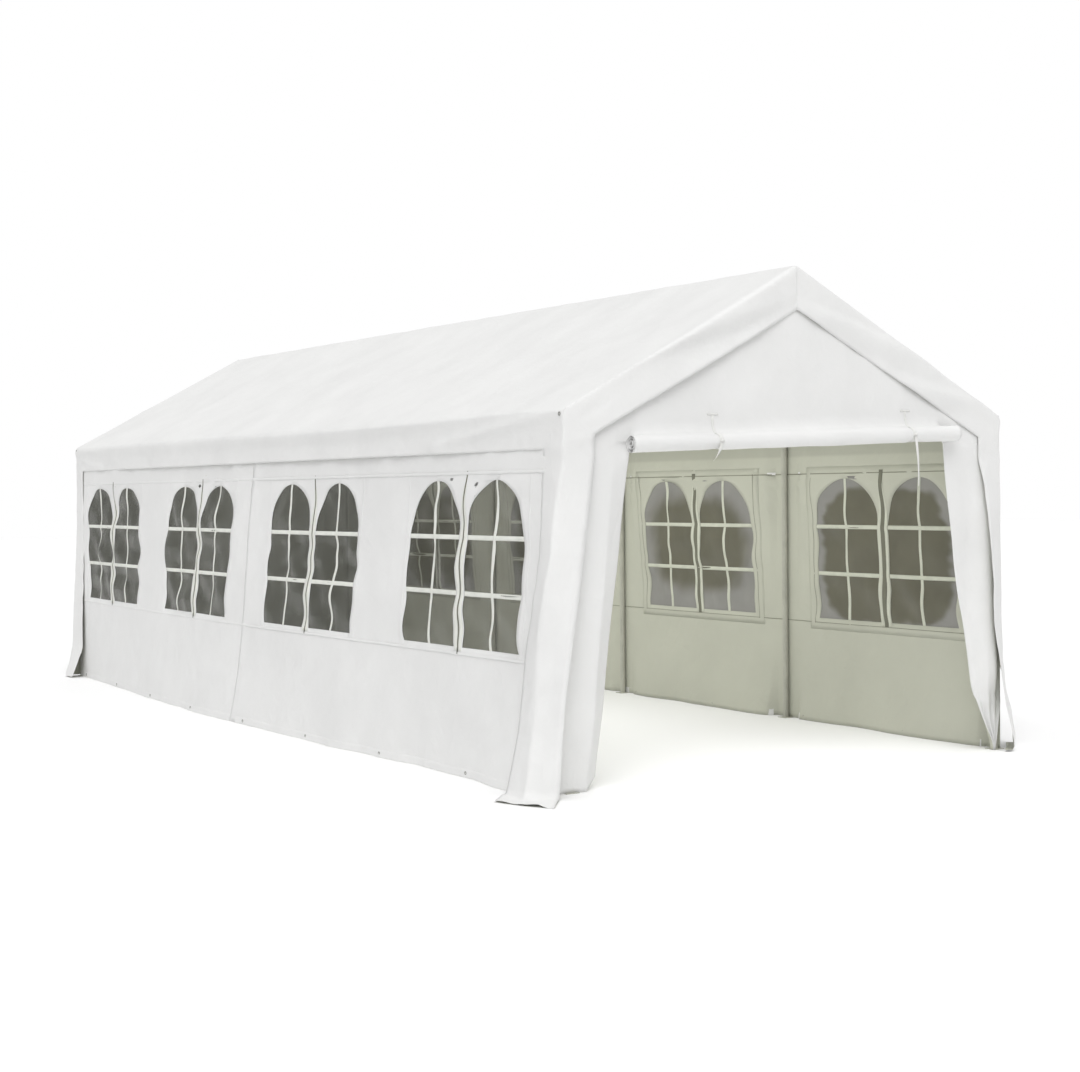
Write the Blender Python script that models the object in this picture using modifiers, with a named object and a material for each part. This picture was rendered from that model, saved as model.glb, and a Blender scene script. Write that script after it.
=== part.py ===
"""Marquee tent, 3 m wide and 8 m long, for Blender 4.5.

Five steel tube frames stand 2 m apart on foot plates. Eave and ridge tubes
join them, a sewn cover lies over the roof with a hanging edge and four corner
flaps, and cloth walls with arched film windows close the sides. The front
doorway is open, with its door rolled up and tied. The back door is closed.

Metres, +Z up. The origin is on the ground at the middle of the tent. The
front gable faces -Y, and the long side that is best lit faces -X.
"""

import math

import bmesh
import bpy
from mathutils import Vector

# Outer size of the cover
WIDTH = 3.000
LENGTH = 8.000
EAVE_Z = 1.956
RIDGE_Z = 2.762
BAY_COUNT = 4

# Thicknesses and clearances
CLOTH = 0.003
FILM = 0.002
STRAP = 0.002
GAP = 0.0003
GROUND_CLEARANCE = 0.0045

# Steel frame
TUBE_RADIUS = 0.019
SLEEVE_RADIUS = 0.0215
ARM_RADIUS = 0.0208
POST_SLEEVE = 0.300
RAFTER_SLEEVE = 0.150
LINE_SLEEVE = 0.120
PLATE_SIDE = 0.080
PLATE_THICKNESS = 0.004
PEG_HOLE_RADIUS = 0.006
PEG_HOLE_OFFSET = 0.028

# Hanging edges of the cover
SIDE_VALANCE_Z = 1.755
VALANCE_CORNER_X = 1.324
VALANCE_CORNER_Z = 1.830
VALANCE_APEX_Z = 2.514

# Corner flaps: the two legs of the L, and how each flap swings out.
# A row is height, swing along X, swing along Y and how far the legs open.
FLAP_SIDE_LEG = 0.195
FLAP_GABLE_LEG = 0.176
FLAP_TOP_Z = SIDE_VALANCE_Z - GAP
SPREAD_FLAP = (
    (FLAP_TOP_Z, 0.000, 0.000, 0.0),
    (1.700, 0.000, 0.000, 0.0),
    (1.190, 0.070, 0.004, 0.0),
    (0.500, 0.165, 0.020, 0.0),
    (0.120, 0.215, 0.060, 12.0),
    (0.000, 0.295, 0.180, 44.0),
)
CLOSE_FLAP = (
    (FLAP_TOP_Z, 0.000, 0.000, 0.0),
    (1.700, 0.000, 0.000, 0.0),
    (0.900, 0.035, 0.002, 0.0),
    (0.280, 0.075, 0.006, 0.0),
    (0.000, 0.120, 0.022, 0.0),
)

# Side walls and their windows
WALL_TOP_Z = 1.930
WALL_LAP = 0.0004
WINDOW_PAIR_WIDTH = 1.300
WINDOW_WIDTH = 0.600
WINDOW_SILL_Z = 0.690
WINDOW_TOP_Z = 1.605
WINDOW_FILM_LAP = 0.020
ARCH_STEPS = 12

# Front doorway, its side strips and the gable cloth over it
PANEL_FOOT_Z = 1.790
LEFT_STRIP_ROWS = (
    (PANEL_FOOT_Z - GAP, -1.200, -1.100, 0.000, 0.000),
    (1.640, -1.205, -1.112, 0.004, 0.000),
    (0.980, -1.270, -1.172, 0.030, 0.000),
    (0.400, -1.330, -1.216, 0.060, 0.015),
    (GROUND_CLEARANCE, -1.388, -1.262, 0.085, 0.055),
)
RIGHT_STRIP_EDGE = (
    (1.056, PANEL_FOOT_Z - GAP),
    (1.070, 1.640),
    (1.098, 1.409),
    (1.135, 1.120),
    (1.170, 0.888),
    (1.208, 0.655),
    (1.253, 0.379),
    (1.330, 0.240),
    (1.400, 0.095),
    (1.420, GROUND_CLEARANCE),
)

# Rolled-up door and its two ties
ROLL_LEFT_X = -1.122
ROLL_RIGHT_X = 1.118
ROLL_LEFT_Z = 1.777
ROLL_RIGHT_Z = 1.849
ROLL_RADIUS = 0.044
TIE_PLACES = {"door_tie_left": -0.572, "door_tie_right": 0.770}
TIE_WIDTH = 0.025
TIE_TOP_Z = 1.925
TIE_END_Z = 1.720
TIE_PLAY = 0.0006

# Closed back door
BACK_DOOR_HALF = 1.060
BACK_DOOR_TOP_Z = 1.790

TUBE_SIDES = 12
ROUND_SIDES = 20

# Layers of each side, from outside in. The gable ends have the same layers.
HALF_WIDTH = WIDTH / 2
HALF_LENGTH = LENGTH / 2
SLOPE = (RIDGE_Z - EAVE_Z) / HALF_WIDTH
SLANT = math.sqrt(1 + SLOPE ** 2)
VALANCE_INNER = CLOTH
WALL_OUTER = VALANCE_INNER + GAP
WALL_INNER = WALL_OUTER + CLOTH
FILM_OUTER = WALL_INNER + GAP
FRAME_INSET = WALL_INNER + GAP + SLEEVE_RADIUS

# Frame lines: posts, eave tubes and the end frames stand this far out
POST_X = HALF_WIDTH - FRAME_INSET
END_FRAME_Y = HALF_LENGTH - FRAME_INSET
ROOF_UNDER = CLOTH * SLANT
AXIS_DROP = ROOF_UNDER + (SLEEVE_RADIUS + GAP) * SLANT


def roof_z(x):
    """Height of the cover's outer face above a point x from the middle."""
    return RIDGE_Z - SLOPE * abs(x)


def axis_z(x):
    """Height of a rafter's centre line above a point x from the middle."""
    return roof_z(x) - AXIS_DROP


def frame_places():
    """Y of the five frames, front to back. The end two stand just inside."""
    bay = LENGTH / BAY_COUNT
    inner = [-HALF_LENGTH + bay * i for i in range(1, BAY_COUNT)]
    return [-END_FRAME_Y] + inner + [END_FRAME_Y]


def clear_scene():
    """Start from an empty file."""
    for obj in list(bpy.data.objects):
        bpy.data.objects.remove(obj, do_unlink=True)


def new_collection(name):
    collection = bpy.data.collections.new(name)
    bpy.context.scene.collection.children.link(collection)
    return collection


def material(name, colour, roughness, metallic=0.0, alpha=1.0):
    """A Principled material with a plain colour."""
    mat = bpy.data.materials.new(name)
    mat.use_nodes = True
    shader = mat.node_tree.nodes["Principled BSDF"]
    shader.inputs["Base Color"].default_value = (*colour, 1.0)
    shader.inputs["Roughness"].default_value = roughness
    shader.inputs["Metallic"].default_value = metallic
    shader.inputs["Alpha"].default_value = alpha
    return mat


def white_cloth(name):
    return material(name + "_cloth", (0.86, 0.86, 0.86), 0.55)


def galvanised_steel(name):
    return material(name + "_steel", (0.62, 0.63, 0.64), 0.38, 0.9)


def window_film(name):
    return material(name + "_film", (0.24, 0.24, 0.19), 0.25, 0.0, 0.45)


def add(name, data, finish, location=(0.0, 0.0, 0.0)):
    """Put a mesh or curve into the tent's collection with its own material."""
    obj = bpy.data.objects.new(name, data)
    obj.location = location
    data.materials.append(finish(name))
    TENT.objects.link(obj)
    return obj


def guide(name, data, location=(0.0, 0.0, 0.0)):
    """A shape that only cuts or joins another, kept out of the model."""
    obj = bpy.data.objects.new(name, data)
    obj.location = location
    obj.hide_render = True
    obj.display_type = "WIRE"
    CUTTERS.objects.link(obj)
    return obj


def box_mesh(name, size):
    """A box of the given size, centred on its own origin."""
    mesh = bpy.data.meshes.new(name)
    bm = bmesh.new()
    bmesh.ops.create_cube(bm, size=1.0)
    bmesh.ops.scale(bm, vec=size, verts=bm.verts)
    bm.to_mesh(mesh)
    bm.free()
    return mesh


def rod_mesh(name, start, end, radius, sides=TUBE_SIDES):
    """A round bar from start to end, placed in its mesh."""
    start, end = Vector(start), Vector(end)
    along = end - start
    mesh = bpy.data.meshes.new(name)
    bm = bmesh.new()
    bmesh.ops.create_cone(
        bm, cap_ends=True, segments=sides, radius1=radius, radius2=radius, depth=along.length
    )
    turn = along.to_track_quat("Z", "Y").to_matrix()
    bmesh.ops.rotate(bm, cent=(0, 0, 0), matrix=turn, verts=bm.verts)
    bmesh.ops.translate(bm, vec=(start + end) / 2, verts=bm.verts)
    bm.to_mesh(mesh)
    bm.free()
    mesh.shade_smooth()
    mesh.set_sharp_from_angle(angle=math.radians(40))
    return mesh


def combine(obj, other, operation):
    """Join or cut an object with a guide by a Boolean modifier."""
    boolean = obj.modifiers.new(other.name, "BOOLEAN")
    boolean.operation = operation
    boolean.solver = "EXACT"
    boolean.object = other


def outline(name, loops, thickness, across, centre, finish):
    """A flat piece from 2D loops: the first is its edge, the others are holes.

    Across is the axis the piece is thin along, X or Y. The loops are then
    points (y, z) or (x, z), and centre is the piece's place on that axis.
    """
    curve = bpy.data.curves.new(name, "CURVE")
    curve.dimensions = "2D"
    curve.fill_mode = "BOTH"
    curve.extrude = thickness / 2
    for loop in loops:
        spline = curve.splines.new("POLY")
        spline.points.add(len(loop) - 1)
        for point, (u, v) in zip(spline.points, loop):
            point.co = (u, v, 0.0, 1.0)
        spline.use_cyclic_u = True
    quarter = math.radians(90)
    if across == "X":
        obj = add(name, curve, finish, (centre, 0.0, 0.0))
        obj.rotation_euler = (quarter, 0.0, quarter)
    else:
        obj = add(name, curve, finish, (0.0, centre, 0.0))
        obj.rotation_euler = (quarter, 0.0, 0.0)
    return obj


def sheet(name, rows, finish):
    """A bent sheet of cloth: rows of points on its inner face, then Solidify.

    Seen from outside, each row runs left to right and the rows run downwards.
    """
    columns = len(rows[0])
    points = [point for row in rows for point in row]
    faces = []
    for r in range(len(rows) - 1):
        for c in range(columns - 1):
            a = r * columns + c
            faces.append((a, a + columns, a + columns + 1, a + 1))
    mesh = bpy.data.meshes.new(name)
    mesh.from_pydata(points, [], faces)
    obj = add(name, mesh, finish)
    solidify = obj.modifiers.new("cloth", "SOLIDIFY")
    solidify.thickness = CLOTH
    solidify.offset = 1.0
    return obj


def add_posts():
    """Ten posts, each on a square foot plate with one peg hole."""
    plate = box_mesh("foot_plate", (PLATE_SIDE, PLATE_SIDE, PLATE_THICKNESS))
    hole = rod_mesh(
        "peg_hole", (0, 0, -PLATE_THICKNESS), (0, 0, 2 * PLATE_THICKNESS), PEG_HOLE_RADIUS
    )
    top = axis_z(POST_X) - POST_SLEEVE - GAP
    for side, sign in (("left", -1), ("right", 1)):
        for number, y in enumerate(frame_places(), start=1):
            name = f"post_{side}_{number}"
            foot = (sign * POST_X, y, PLATE_THICKNESS / 2)
            bar = rod_mesh(name, foot, (sign * POST_X, y, top), TUBE_RADIUS)
            post = add(name, bar, galvanised_steel)
            combine(post, guide(name + "_plate", plate, foot), "UNION")
            hole_place = (sign * (POST_X - PEG_HOLE_OFFSET), y, 0.0)
            combine(post, guide(name + "_hole", hole, hole_place), "DIFFERENCE")


def rafter_points():
    """Centre line of a rafter in X and Z: its eave end and its ridge end."""
    return Vector((POST_X, axis_z(POST_X))), Vector((0.0, axis_z(0.0)))


def add_rafters():
    """Ten rafters, each between the sleeves of the eave and the ridge."""
    eave, ridge = rafter_points()
    run = (ridge - eave).normalized() * (RAFTER_SLEEVE + GAP)
    low, high = eave + run, ridge - run
    for side, sign in (("left", -1), ("right", 1)):
        for number, y in enumerate(frame_places(), start=1):
            name = f"rafter_{side}_{number}"
            start = (sign * low.x, y, low.y)
            end = (sign * high.x, y, high.y)
            add(name, rod_mesh(name, start, end, TUBE_RADIUS), galvanised_steel)


def add_line(name, centre, arms):
    """A tube along Y with a fitting at each frame.

    Each fitting is a sleeve along the tube, with an arm for each end in arms.
    """
    x, z = centre
    reach = END_FRAME_Y + SLEEVE_RADIUS
    start, end = (x, -END_FRAME_Y, z), (x, END_FRAME_Y, z)
    line = add(name, rod_mesh(name, start, end, TUBE_RADIUS), galvanised_steel)
    for number, y in enumerate(frame_places(), start=1):
        front = max(y - LINE_SLEEVE, -reach)
        back = min(y + LINE_SLEEVE, reach)
        label = f"{name}_fitting_{number}"
        sleeve = rod_mesh(label, (x, front, z), (x, back, z), SLEEVE_RADIUS)
        combine(line, guide(label, sleeve), "UNION")
        for arm, (end_x, end_z) in enumerate(arms, start=1):
            bar = rod_mesh(f"{label}_arm_{arm}", (x, y, z), (end_x, y, end_z), ARM_RADIUS)
            combine(line, guide(f"{label}_arm_{arm}", bar), "UNION")


def add_frame_lines():
    """The ridge tube and the two eave tubes with their fittings."""
    eave, ridge = rafter_points()
    run = (ridge - eave).normalized() * RAFTER_SLEEVE
    low, high = eave + run, ridge - run
    post_end = eave.y - POST_SLEEVE
    for side, sign in (("left", -1), ("right", 1)):
        arms = ((sign * eave.x, post_end), (sign * low.x, low.y))
        add_line(f"eave_line_{side}", (sign * eave.x, eave.y), arms)
    add_line("ridge_line", (0.0, ridge.y), ((-high.x, high.y), (high.x, high.y)))


def add_roof():
    """The two slopes of the cover and its hanging edge on all four sides."""
    ridge_gap = GAP / 2
    for side, sign in (("left", -1), ("right", 1)):
        section = [
            (sign * ridge_gap, roof_z(ridge_gap)),
            (sign * HALF_WIDTH, EAVE_Z),
            (sign * HALF_WIDTH, EAVE_Z - ROOF_UNDER),
            (sign * ridge_gap, roof_z(ridge_gap) - ROOF_UNDER),
        ]
        outline(f"roof_slope_{side}", [section], LENGTH, "Y", 0.0, white_cloth)
        reach = HALF_LENGTH - VALANCE_INNER - GAP
        top = EAVE_Z - ROOF_UNDER - GAP
        edge = [(-reach, SIDE_VALANCE_Z), (reach, SIDE_VALANCE_Z), (reach, top), (-reach, top)]
        centre = sign * (HALF_WIDTH - CLOTH / 2)
        outline(f"side_valance_{side}", [edge], CLOTH, "X", centre, white_cloth)
    hanging = ROOF_UNDER + GAP
    chevron = [
        (-HALF_WIDTH, SIDE_VALANCE_Z),
        (-VALANCE_CORNER_X, SIDE_VALANCE_Z),
        (-VALANCE_CORNER_X, VALANCE_CORNER_Z),
        (0.0, VALANCE_APEX_Z),
        (VALANCE_CORNER_X, VALANCE_CORNER_Z),
        (VALANCE_CORNER_X, SIDE_VALANCE_Z),
        (HALF_WIDTH, SIDE_VALANCE_Z),
        (HALF_WIDTH, EAVE_Z - hanging),
        (0.0, RIDGE_Z - hanging),
        (-HALF_WIDTH, EAVE_Z - hanging),
    ]
    for end, sign in (("front", -1), ("back", 1)):
        centre = sign * (HALF_LENGTH - CLOTH / 2)
        outline(f"gable_valance_{end}", [chevron], CLOTH, "Y", centre, white_cloth)


def flap_rows(x_sign, y_sign, shape):
    """Inner face of a corner flap: side edge, corner and gable edge per row."""
    rows = []
    for z, swing_x, swing_y, opening in shape:
        turn = math.radians(opening)
        corner_x = HALF_WIDTH - VALANCE_INNER + swing_x
        corner_y = HALF_LENGTH - VALANCE_INNER + swing_y
        side_leg = FLAP_SIDE_LEG - VALANCE_INNER
        gable_leg = FLAP_GABLE_LEG - VALANCE_INNER
        side_x = corner_x + side_leg * math.sin(turn)
        side_y = corner_y - side_leg * math.cos(turn)
        gable_x = corner_x - gable_leg * math.cos(turn)
        gable_y = corner_y + gable_leg * math.sin(turn)
        row = [(side_x, side_y), (corner_x, corner_y), (gable_x, gable_y)]
        row = [(x_sign * x, y_sign * y, z) for x, y in row]
        if x_sign * y_sign < 0:
            row.reverse()
        rows.append(row)
    return rows


def add_corner_flaps():
    """Four corner flaps. One opposite pair is spread wide on the ground."""
    corners = (
        ("corner_flap_front_left", -1, -1, SPREAD_FLAP),
        ("corner_flap_front_right", 1, -1, CLOSE_FLAP),
        ("corner_flap_back_left", -1, 1, CLOSE_FLAP),
        ("corner_flap_back_right", 1, 1, SPREAD_FLAP),
    )
    for name, x_sign, y_sign, shape in corners:
        sheet(name, flap_rows(x_sign, y_sign, shape), white_cloth)


def window_loop(middle):
    """Outline of one arched window, centred at y = middle."""
    half = WINDOW_WIDTH / 2
    spring = WINDOW_TOP_Z - half
    arc = []
    for step in range(ARCH_STEPS + 1):
        angle = math.pi * step / ARCH_STEPS
        arc.append((middle + half * math.cos(angle), spring + half * math.sin(angle)))
    return [(middle - half, WINDOW_SILL_Z), (middle + half, WINDOW_SILL_Z)] + arc


def add_side_walls():
    """Two wall sheets a side, two bays each, with a pair of windows a bay."""
    bay = LENGTH / BAY_COUNT
    reach = HALF_LENGTH - WALL_INNER - GAP
    pair_offset = (WINDOW_PAIR_WIDTH - WINDOW_WIDTH) / 2
    halves = (("front", -reach, -WALL_LAP / 2), ("back", WALL_LAP / 2, reach))
    film_height = WINDOW_TOP_Z - WINDOW_SILL_Z + 2 * WINDOW_FILM_LAP
    film_size = (FILM, WINDOW_PAIR_WIDTH + 2 * WINDOW_FILM_LAP, film_height)
    film_z = (WINDOW_TOP_Z + WINDOW_SILL_Z) / 2
    middles = [-HALF_LENGTH + bay * (i + 0.5) for i in range(BAY_COUNT)]
    for side, sign in (("left", -1), ("right", 1)):
        for half, low, high in halves:
            foot = GROUND_CLEARANCE
            loops = [[(low, foot), (high, foot), (high, WALL_TOP_Z), (low, WALL_TOP_Z)]]
            for middle in middles:
                if low < middle < high:
                    loops.append(window_loop(middle - pair_offset))
                    loops.append(window_loop(middle + pair_offset))
            centre = sign * (HALF_WIDTH - WALL_OUTER - CLOTH / 2)
            outline(f"side_wall_{side}_{half}", loops, CLOTH, "X", centre, white_cloth)
        for number, middle in enumerate(middles, start=1):
            name = f"window_film_{side}_{number}"
            place = (sign * (HALF_WIDTH - FILM_OUTER - FILM / 2), middle, film_z)
            add(name, box_mesh(name, film_size), window_film, place)


def gable_top(x):
    """Top edge of the end cloth, just under the roof."""
    return roof_z(x) - ROOF_UNDER - 2 * GAP


def add_front_wall():
    """Gable cloth over the doorway and the strip on each side of it."""
    edge = HALF_WIDTH - WALL_OUTER
    panel = [
        (-edge, PANEL_FOOT_Z),
        (edge, PANEL_FOOT_Z),
        (edge, gable_top(edge)),
        (0.0, gable_top(0.0)),
        (-edge, gable_top(edge)),
    ]
    centre = -(HALF_LENGTH - WALL_OUTER - CLOTH / 2)
    outline("front_gable_panel", [panel], CLOTH, "Y", centre, white_cloth)
    inner_face = -(HALF_LENGTH - WALL_INNER)
    rows = []
    for z, fold_x, edge_x, turned_in, lifted in LEFT_STRIP_ROWS:
        turned = (edge_x, inner_face + turned_in, z + lifted)
        rows.append([(-edge, inner_face, z), (fold_x, inner_face, z), turned])
    sheet("front_strip_left", rows, white_cloth)
    strip = list(RIGHT_STRIP_EDGE) + [(edge, GROUND_CLEARANCE), (edge, PANEL_FOOT_Z - GAP)]
    outline("front_strip_right", [strip], CLOTH, "Y", centre, white_cloth)


def tie_radius():
    """Inner radius of a tie's ring, measured at its corners."""
    return (ROLL_RADIUS + TIE_PLAY) / math.cos(math.pi / ROUND_SIDES)


def roll_centre():
    """Y of the rolled door's middle: a tie's strap fits behind the roll."""
    return -(HALF_LENGTH - WALL_OUTER + GAP + STRAP + tie_radius())


def roll_z(x):
    """Height of the roll's middle, which hangs a little lower at the left."""
    share = (x - ROLL_LEFT_X) / (ROLL_RIGHT_X - ROLL_LEFT_X)
    return ROLL_LEFT_Z + share * (ROLL_RIGHT_Z - ROLL_LEFT_Z)


def add_rolled_door():
    """The front door rolled up under the gable cloth, in two sewn ties."""
    y = roll_centre()
    start = (ROLL_LEFT_X, y, ROLL_LEFT_Z)
    end = (ROLL_RIGHT_X, y, ROLL_RIGHT_Z)
    roll = rod_mesh("rolled_door", start, end, ROLL_RADIUS, ROUND_SIDES)
    add("rolled_door", roll, white_cloth)
    inner = tie_radius()
    for name, x in TIE_PLACES.items():
        z = roll_z(x)
        ring = []
        for radius in (inner + STRAP, inner):
            angles = [2 * math.pi * step / ROUND_SIDES for step in range(ROUND_SIDES)]
            ring.append([(y + radius * math.cos(a), z + radius * math.sin(a)) for a in angles])
        add_tie(name, x, y, z, ring, inner)


def add_tie(name, x, y, z, ring, inner):
    """A strap ring round the roll, with its sewn end above and its tail below."""
    tie = outline(name, ring, TIE_WIDTH, "X", x, white_cloth)
    mesh = bpy.data.meshes.new_from_object(tie.evaluated_get(bpy.context.evaluated_depsgraph_get()))
    bm = bmesh.new()
    bm.from_mesh(mesh)
    bmesh.ops.transform(bm, matrix=tie.matrix_world, verts=bm.verts)
    bmesh.ops.remove_doubles(bm, verts=bm.verts, dist=1e-6)
    bm.to_mesh(mesh)
    bm.free()
    bpy.data.objects.remove(tie, do_unlink=True)
    mesh.name = name
    mesh.materials.clear()
    tie = add(name, mesh, white_cloth)
    back = -(HALF_LENGTH - WALL_OUTER + GAP) - STRAP / 2
    for label, middle_y, low, high in (
        ("sewn_end", back, z, TIE_TOP_Z),
        ("tail", y - inner - STRAP / 2, TIE_END_Z, z),
    ):
        size = (TIE_WIDTH, STRAP, high - low)
        place = (x, middle_y, (low + high) / 2)
        strip = guide(f"{name}_{label}", box_mesh(f"{name}_{label}", size), place)
        combine(tie, strip, "UNION")


def add_back_wall():
    """Back cloth with its doorway, closed by the zipped back door."""
    edge = HALF_WIDTH - WALL_OUTER
    foot = GROUND_CLEARANCE
    door = BACK_DOOR_HALF
    wall = [
        (-edge, foot),
        (-door, foot),
        (-door, BACK_DOOR_TOP_Z),
        (door, BACK_DOOR_TOP_Z),
        (door, foot),
        (edge, foot),
        (edge, gable_top(edge)),
        (0.0, gable_top(0.0)),
        (-edge, gable_top(edge)),
    ]
    centre = HALF_LENGTH - WALL_OUTER - CLOTH / 2
    outline("back_wall", [wall], CLOTH, "Y", centre, white_cloth)
    size = (2 * (door - GAP), CLOTH, BACK_DOOR_TOP_Z - GAP - foot)
    place = (0.0, centre, foot + size[2] / 2)
    add("back_door", box_mesh("back_door", size), white_cloth, place)


clear_scene()
TENT = new_collection("marquee_tent")
CUTTERS = new_collection("cutters")
add_posts()
add_rafters()
add_frame_lines()
add_roof()
add_corner_flaps()
add_side_walls()
add_front_wall()
add_rolled_door()
add_back_wall()
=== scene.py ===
"""Dresses the frame of a marquee tent: cloth cover, walls, film windows, rolled door and fittings.

Every cloth surface is a function of two parameters, worked out on whole numpy grids. Tapes, bars,
zips and eyelets are placed by the same functions, a little further out, so they follow the cloth.
Metres, +Z up. The front gable faces -Y.
"""

import math

import bmesh
import bpy
import numpy as np
from bpy.props import FloatProperty, FloatVectorProperty, PointerProperty
from mathutils import Matrix, Vector


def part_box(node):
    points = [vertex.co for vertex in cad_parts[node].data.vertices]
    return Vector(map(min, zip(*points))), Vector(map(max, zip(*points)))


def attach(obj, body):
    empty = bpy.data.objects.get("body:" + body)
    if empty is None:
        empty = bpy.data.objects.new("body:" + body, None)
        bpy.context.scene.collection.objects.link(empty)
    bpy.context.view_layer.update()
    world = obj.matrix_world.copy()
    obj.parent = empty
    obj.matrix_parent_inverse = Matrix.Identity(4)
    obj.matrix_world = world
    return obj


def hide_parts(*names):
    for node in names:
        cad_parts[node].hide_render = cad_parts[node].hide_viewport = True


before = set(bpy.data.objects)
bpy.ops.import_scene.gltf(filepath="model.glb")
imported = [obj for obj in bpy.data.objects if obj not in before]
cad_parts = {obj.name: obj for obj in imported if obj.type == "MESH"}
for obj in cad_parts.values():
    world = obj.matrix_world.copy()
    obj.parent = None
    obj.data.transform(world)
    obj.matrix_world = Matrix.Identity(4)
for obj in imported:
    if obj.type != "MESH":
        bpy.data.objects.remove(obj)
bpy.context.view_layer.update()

bl_info = {
    "name": "Marquee tent",
    "version": (1, 0, 0),
    "blender": (4, 5, 0),
    "location": "View3D > Sidebar > Tent",
    "description": "Dresses the frame of a marquee tent with cloth, windows and fittings",
    "category": "Object",
}

# Main sizes, taken from the frame
SLOPE_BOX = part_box("roof_slope_right")
HALF_WIDTH = SLOPE_BOX[1].x
HALF_LENGTH = SLOPE_BOX[1].y
RIDGE_Z = SLOPE_BOX[1].z
EAVE_Z = 1.956
SLOPE = (RIDGE_Z - EAVE_Z) / HALF_WIDTH
SLANT = math.sqrt(1 + SLOPE**2)
BAY = HALF_LENGTH / 2
WALL_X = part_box("side_wall_right_front")[1].x
WALL_TOP_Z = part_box("side_wall_right_front")[1].z
WALL_END_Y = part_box("side_wall_right_back")[1].y
END_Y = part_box("back_wall")[1].y
FOOT_Z = 0.0025
FRAME_Y = [-HALF_LENGTH, -BAY, 0.0, BAY, HALF_LENGTH]

# Hanging edges of the cover and its corner flaps
VALANCE_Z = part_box("side_valance_left")[0].z
CHEVRON_X = 1.324
CHEVRON_CORNER_Z = 1.830
CHEVRON_APEX_Z = 2.514
FLAP_SIDE_LEG = 0.195
FLAP_GABLE_LEG = 0.176
EDGE_BEND = 0.006

# Edges of a corner flap at each height: where the edge on the long side stands (X, Y), then the
# edge on the gable side. Heights below 0 count the cloth that lies on the ground.
SPREAD_FLAP = (
    (1.755, 1.500, 3.805, 1.324, 4.000),
    (1.700, 1.500, 3.805, 1.324, 4.000),
    (1.450, 1.516, 3.812, 1.377, 4.024),
    (1.200, 1.547, 3.838, 1.424, 4.046),
    (0.900, 1.570, 3.800, 1.482, 4.078),
    (0.690, 1.588, 3.770, 1.520, 4.093),
    (0.500, 1.612, 3.765, 1.553, 4.108),
    (0.300, 1.652, 3.780, 1.585, 4.121),
    (0.100, 1.722, 3.825, 1.616, 4.133),
    (0.000, 1.768, 3.853, 1.631, 4.138),
    (-0.250, 1.930, 4.020, 1.789, 4.363),
)
TURNED_FLAP = (
    (1.755, 1.500, 3.805, 1.324, 4.000),
    (1.700, 1.500, 3.805, 1.324, 4.000),
    (1.600, 1.500, 3.805, 1.328, 4.037),
    (1.300, 1.500, 3.805, 1.339, 4.072),
    (1.000, 1.510, 3.805, 1.349, 4.091),
    (0.750, 1.545, 3.809, 1.356, 4.096),
    (0.550, 1.610, 3.831, 1.377, 4.113),
    (0.400, 1.650, 3.851, 1.394, 4.118),
    (0.300, 1.673, 3.860, 1.411, 4.122),
    (0.150, 1.713, 3.860, 1.451, 4.122),
    (0.050, 1.738, 3.860, 1.475, 4.122),
    (0.000, 1.735, 3.860, 1.472, 4.122),
    (-0.090, 1.655, 3.860, 1.393, 4.122),
)
CLOSE_FLAP = (
    (1.755, 1.500, 3.805, 1.324, 4.000),
    (1.700, 1.500, 3.805, 1.324, 4.000),
    (1.200, 1.506, 3.805, 1.331, 4.000),
    (0.900, 1.509, 3.806, 1.348, 4.000),
    (0.500, 1.521, 3.806, 1.368, 4.000),
    (0.250, 1.522, 3.809, 1.379, 4.000),
    (0.120, 1.572, 3.815, 1.409, 4.010),
    (0.000, 1.620, 3.825, 1.444, 4.020),
)
# Signs of X and Y at a corner, with its flap
FLAPS = {
    (-1, -1): SPREAD_FLAP,
    (1, -1): TURNED_FLAP,
    (-1, 1): CLOSE_FLAP,
    (1, 1): SPREAD_FLAP,
}

# Windows: a pair in the middle of each bay
PAIR_MIDDLES = (-3.0, -1.0, 1.0, 3.0)
WINDOW_OFFSET = 0.350
WINDOW_HALF = 0.300
SILL_Z = 0.690
SPRING_Z = 1.305
ARCH_TOP_Z = 1.605
BAR_HEIGHTS = (0.985, 1.292)
FILM_LAP = 0.015
SEAM_HEIGHTS = (0.655, 1.645)
SEAM_OFFSET = 0.700
WALL_LAP = 0.035
# Layers at a window, inwards from the wall's outer face
OUTER_BAR = 0.0014
FILM_LAYER = 0.0023
INNER_BAR = 0.0032
FACING = 0.0042

# How far the left wall's foot stands out from its head: place along Y, distance
LEFT_LEAN = (
    (-4.00, 0.125),
    (-3.65, 0.130),
    (-3.00, 0.128),
    (-2.35, 0.132),
    (-1.65, 0.155),
    (-0.35, 0.172),
    (0.35, 0.195),
    (1.00, 0.150),
    (1.65, 0.143),
    (2.35, 0.095),
    (3.00, 0.048),
    (3.65, 0.012),
    (4.00, 0.000),
)
# What the left wall's hem stands out beyond that, pulled by the ground pegs
LEFT_HEM = (
    (-4.00, 0.060),
    (-3.58, 0.080),
    (-3.09, 0.020),
    (-2.10, 0.055),
    (-1.10, 0.050),
    (-0.02, 0.030),
    (0.87, 0.050),
    (1.93, 0.015),
    (4.00, 0.000),
)
LEAN_TOP_Z = 1.850
# How far the right wall bellies inwards between the posts: height, distance
RIGHT_BELLY = (
    (0.000, 0.000),
    (0.690, 0.000),
    (0.985, 0.020),
    (1.290, 0.036),
    (1.620, 0.066),
    (1.780, 0.030),
    (1.930, 0.000),
)

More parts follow.
